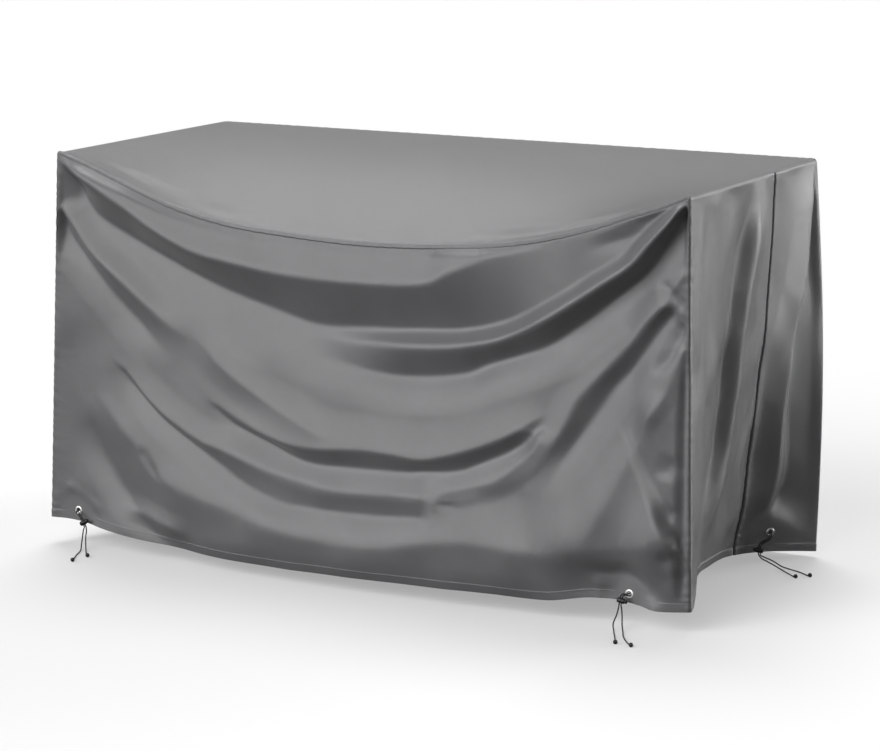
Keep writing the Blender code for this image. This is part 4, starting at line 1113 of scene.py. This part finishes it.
def spaced(route, step):
    """Points a step apart on the smooth curve through a route's own points."""
    route = np.array(route, float)
    knots = np.concatenate([[0.0], np.cumsum(np.linalg.norm(np.diff(route, axis=0), axis=1))])
    count = max(4, round(knots[-1] / step)) + 1
    at = np.linspace(0, knots[-1], count)
    return np.stack([curve_through(knots, route[:, k], at) for k in range(3)], -1)


def cord_points(tie, end):
    """One cord's middle line: half of the loop that joins it to its twin behind the eyelet, then
    along the stem beside the twin, through the lock, and on to its tip."""
    lock, along = Vector(tie["lock"]), Vector(tie["along"]).normalized()
    apart = CORD_APART if end == "b" else -CORD_APART
    at_eyelet, at_lock = (Vector(way).normalized() * apart for way in tie["beside"])
    route = []
    for k, place in enumerate(tie["stem"]):
        beside = at_eyelet.lerp(at_lock, smooth_step(k / len(tie["stem"])))
        route.append(Vector(place) + beside.normalized() * abs(apart))
    route += [lock + along * passed + at_lock for passed in LOCK_PASS]
    route += [Vector(place) for place in tie["ends"][end]]
    start = Vector(tie["stem"][0])
    inward = (start - Vector(tie["stem"][1])).normalized()
    inward = (inward + Vector((0, 0, -LOOP_FALL))).normalized()
    sideways = at_eyelet.normalized()
    loop = [
        start + inward * (LOOP_BACK + LOOP_RADIUS * np.cos(a)) + sideways * LOOP_RADIUS * np.sin(a)
        for a in LOOP_ANGLES
    ]
    return spaced(loop + route, CORD_STEP)


def tube(path, radius, sides):
    """A closed round tube along a path: rings square to it, carried along without twist. Gives its
    points, its faces, and each point's lengths round and along the tube."""
    ahead = np.gradient(path, axis=0)
    ahead /= np.linalg.norm(ahead, axis=1, keepdims=True)
    carried = [np.cross(ahead[0], (0.0, 0.0, 1.0))]
    for way in ahead[1:]:
        carried.append(carried[-1] - way * (carried[-1] @ way))
        carried[-1] /= np.linalg.norm(carried[-1])
    carried[0] /= np.linalg.norm(carried[0])
    beside = np.array(carried)
    above = np.cross(ahead, beside)
    angle = np.linspace(0, 2 * np.pi, sides, endpoint=False)
    turn_x, turn_y = np.cos(angle)[None, :, None], np.sin(angle)[None, :, None]
    ring = turn_x * beside[:, None] + turn_y * above[:, None]
    points = path[:, None] + radius * ring
    index = np.arange(points.shape[0] * sides).reshape(-1, sides)
    turned = np.roll(index, -1, axis=1)
    quads = np.stack([index[:-1], turned[:-1], turned[1:], index[1:]], -1).reshape(-1, 4)
    faces = quads.tolist() + [index[0, ::-1].tolist(), index[-1].tolist()]
    travelled = np.concatenate([[0.0], np.cumsum(np.linalg.norm(np.diff(path, axis=0), axis=1))])
    around, along = np.meshgrid(np.arange(sides) / sides, travelled, indexing="xy")
    return points.reshape(-1, 3), faces, np.stack([around, along], -1).reshape(-1, 2)


def turned_body(outline, steps):
    """A closed body turned about Z from an outline of (z, radius) points that starts and ends on
    the axis."""
    outline = np.array(outline, float)
    inner = outline[1:-1]
    angle = np.linspace(0, 2 * np.pi, steps, endpoint=False)[None, :]
    z, radius = inner[:, 0:1], inner[:, 1:2]
    rings = np.stack([radius * np.cos(angle), radius * np.sin(angle), z + 0 * angle], -1)
    poles = np.array([[0, 0, outline[0, 0]], [0, 0, outline[-1, 0]]])
    index = np.arange(rings.shape[0] * steps).reshape(-1, steps)
    turned = np.roll(index, -1, axis=1)
    quads = np.stack([index[:-1], turned[:-1], turned[1:], index[1:]], -1).reshape(-1, 4)
    first = rings.shape[0] * steps
    start = np.stack([np.full(steps, first), turned[0], index[0]], -1)
    finish = np.stack([np.full(steps, first + 1), index[-1], turned[-1]], -1)
    faces = quads.tolist() + start.tolist() + finish.tolist()
    return np.concatenate([rings.reshape(-1, 3), poles]), faces


def braided_cord():
    """Two sets of strands that cross on the slant: the height of the braid."""
    group, given, result = new_group(
        "cord_braid", (("Place", "Vector"), ("Strands", "Float"), ("Pitch", "Float")),
        (("Height", "Float"),),
    )
    parts = group.nodes.new("ShaderNodeSeparateXYZ")
    group.links.new(given.outputs["Place"], parts.inputs[0])
    around = calculate(group, "MULTIPLY", parts.outputs[0], given.outputs["Strands"])
    along = calculate(group, "DIVIDE", parts.outputs[1], given.outputs["Pitch"])
    slants = []
    for operation in ("ADD", "SUBTRACT"):
        slant = calculate(group, operation, around, along)
        slants.append(calculate(group, "ABSOLUTE", sine(group, slant, np.pi)))
    group.links.new(calculate(group, "MULTIPLY", *slants), result.inputs["Height"])
    return group


black_cord, tree, shader = principled(
    "black_braided_cord", BLACK, 0.75, Specular_IOR_Level=0.35, Sheen_Weight=0.15)
lengths = tree.nodes.new("ShaderNodeUVMap")
lengths.uv_map = "lengths"
braid = place_group(tree, braided_cord(), Place=lengths.outputs["UV"], Strands=BRAID_STRANDS,
                    Pitch=BRAID_PITCH)
bump = tree.nodes.new("ShaderNodeBump")
bump.inputs["Distance"].default_value = BRAID_RELIEF
tree.links.new(braid.outputs["Height"], bump.inputs["Height"])
tree.links.new(bump.outputs["Normal"], shader.inputs["Normal"])
# Painted shade: following the braid's height, the colour darkens into its hollows and lightens on its
# raised strands.
painted_braid_shade = tree.nodes.new("ShaderNodeMix")
painted_braid_shade.data_type = "RGBA"
wire(tree, painted_braid_shade.inputs["Factor"], braid.outputs["Height"])
painted_braid_shade.inputs[6].default_value = BLACK_PAINTED_SHADE_IN_BRAID
painted_braid_shade.inputs[7].default_value = BLACK_ON_BRAID
tree.links.new(painted_braid_shade.outputs[2], shader.inputs["Base Color"])

black_plastic, tree, shader = principled(
    "black_moulded_plastic", BLACK_PLASTIC, 0.42, Specular_IOR_Level=0.5)
grain = tree.nodes.new("ShaderNodeTexNoise")
grain.inputs["Scale"].default_value = GRAIN_SCALE
place_of = tree.nodes.new("ShaderNodeTexCoord")
tree.links.new(place_of.outputs["Object"], grain.inputs["Vector"])
bump = tree.nodes.new("ShaderNodeBump")
bump.inputs["Distance"].default_value = GRAIN_RELIEF
tree.links.new(grain.outputs[0], bump.inputs["Height"])
tree.links.new(bump.outputs["Normal"], shader.inputs["Normal"])


def make_lock(name, tie):
    """A barrel and its button, with two bores across them, one for each cord."""
    vertices, faces = turned_body(LOCK_OUTLINE, LOCK_STEPS)
    lock = add_mesh("cord_lock_" + name, vertices, faces, black_plastic)
    axis = Vector(tie["beside"][1]) * tie["button"]
    along = Vector(tie["along"]).normalized()
    axis = axis - axis.dot(along) * along
    lock.data.transform(turned_to(axis, tie["lock"], along))
    cutters = []
    for side in (-1, 1):
        apart = np.array(Vector(tie["beside"][1]).normalized()) * side * CORD_APART
        middle = np.array(tie["lock"]) + apart
        ends = np.array([middle + np.array(along) * passed for passed in BORE_STATIONS])
        bore = add_mesh("bore", *tube(ends, CORD_RADIUS + BORE_GAP, BORE_SIDES)[:2], black_plastic)
        cut = lock.modifiers.new("bore", "BOOLEAN")
        cut.operation = "DIFFERENCE"
        cut.solver = "EXACT"
        cut.object = bore
        cutters.append(bore)
    graph = bpy.context.evaluated_depsgraph_get()
    bored = bpy.data.meshes.new_from_object(lock.evaluated_get(graph))
    lock.modifiers.clear()
    lock.data = bored
    for bore in cutters:
        bpy.data.objects.remove(bore)
    return lock


def make_bead(name, tip, before):
    """A teardrop that starts just past the cord's tip and lies on its round end."""
    share = (1 - np.cos(np.linspace(0, np.pi, BEAD_STATIONS))) / 2
    swell = BEAD_TIP + (BEAD_RADIUS - BEAD_TIP) * smooth_step(share / BEAD_WIDEST)
    radius = swell * 2 * np.sqrt(share * (1 - share))
    vertices, faces = turned_body(np.stack([share * BEAD_LENGTH, radius], -1), BEAD_STEPS)
    made = add_mesh(name, vertices, faces, black_plastic)
    heading = Vector(tip) - Vector(before)
    heading.z = 0
    heading = heading.normalized()
    rise = (FLOOR + BEAD_RADIUS + GAP - tip[2]) / (BEAD_WIDEST * BEAD_LENGTH)
    along = (heading * (1 - rise * rise) ** 0.5 + Vector((0, 0, rise))).normalized()
    made.data.transform(turned_to(along, Vector(tip) + heading * GAP * 2))
    return made


ties = dict(TIES, back_left=mirrored(TIES["back_right"]))
for name, tie in ties.items():
    lock = make_lock(name, tie)
    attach(lock, "root")
    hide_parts("lock_" + name)
    for end in ("a", "b"):
        path = cord_points(tie, end)
        vertices, faces, around = tube(path, CORD_RADIUS, CORD_SIDES)
        cord = add_mesh(f"tie_cord_{name}_{end}", vertices, faces, black_cord)
        at_corner = np.empty(len(cord.data.loops), dtype=np.int64)
        cord.data.loops.foreach_get("vertex_index", at_corner)
        uv = cord.data.uv_layers.new(name="lengths")
        uv.data.foreach_set("uv", around[at_corner].ravel())
        bead = make_bead(f"cord_end_{name}_{end}", path[-1], path[-2])
        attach(bead, "root")
        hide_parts(f"bead_{name}_{end}")
        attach(cord, "root")
        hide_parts(f"cord_{name}_{end}")
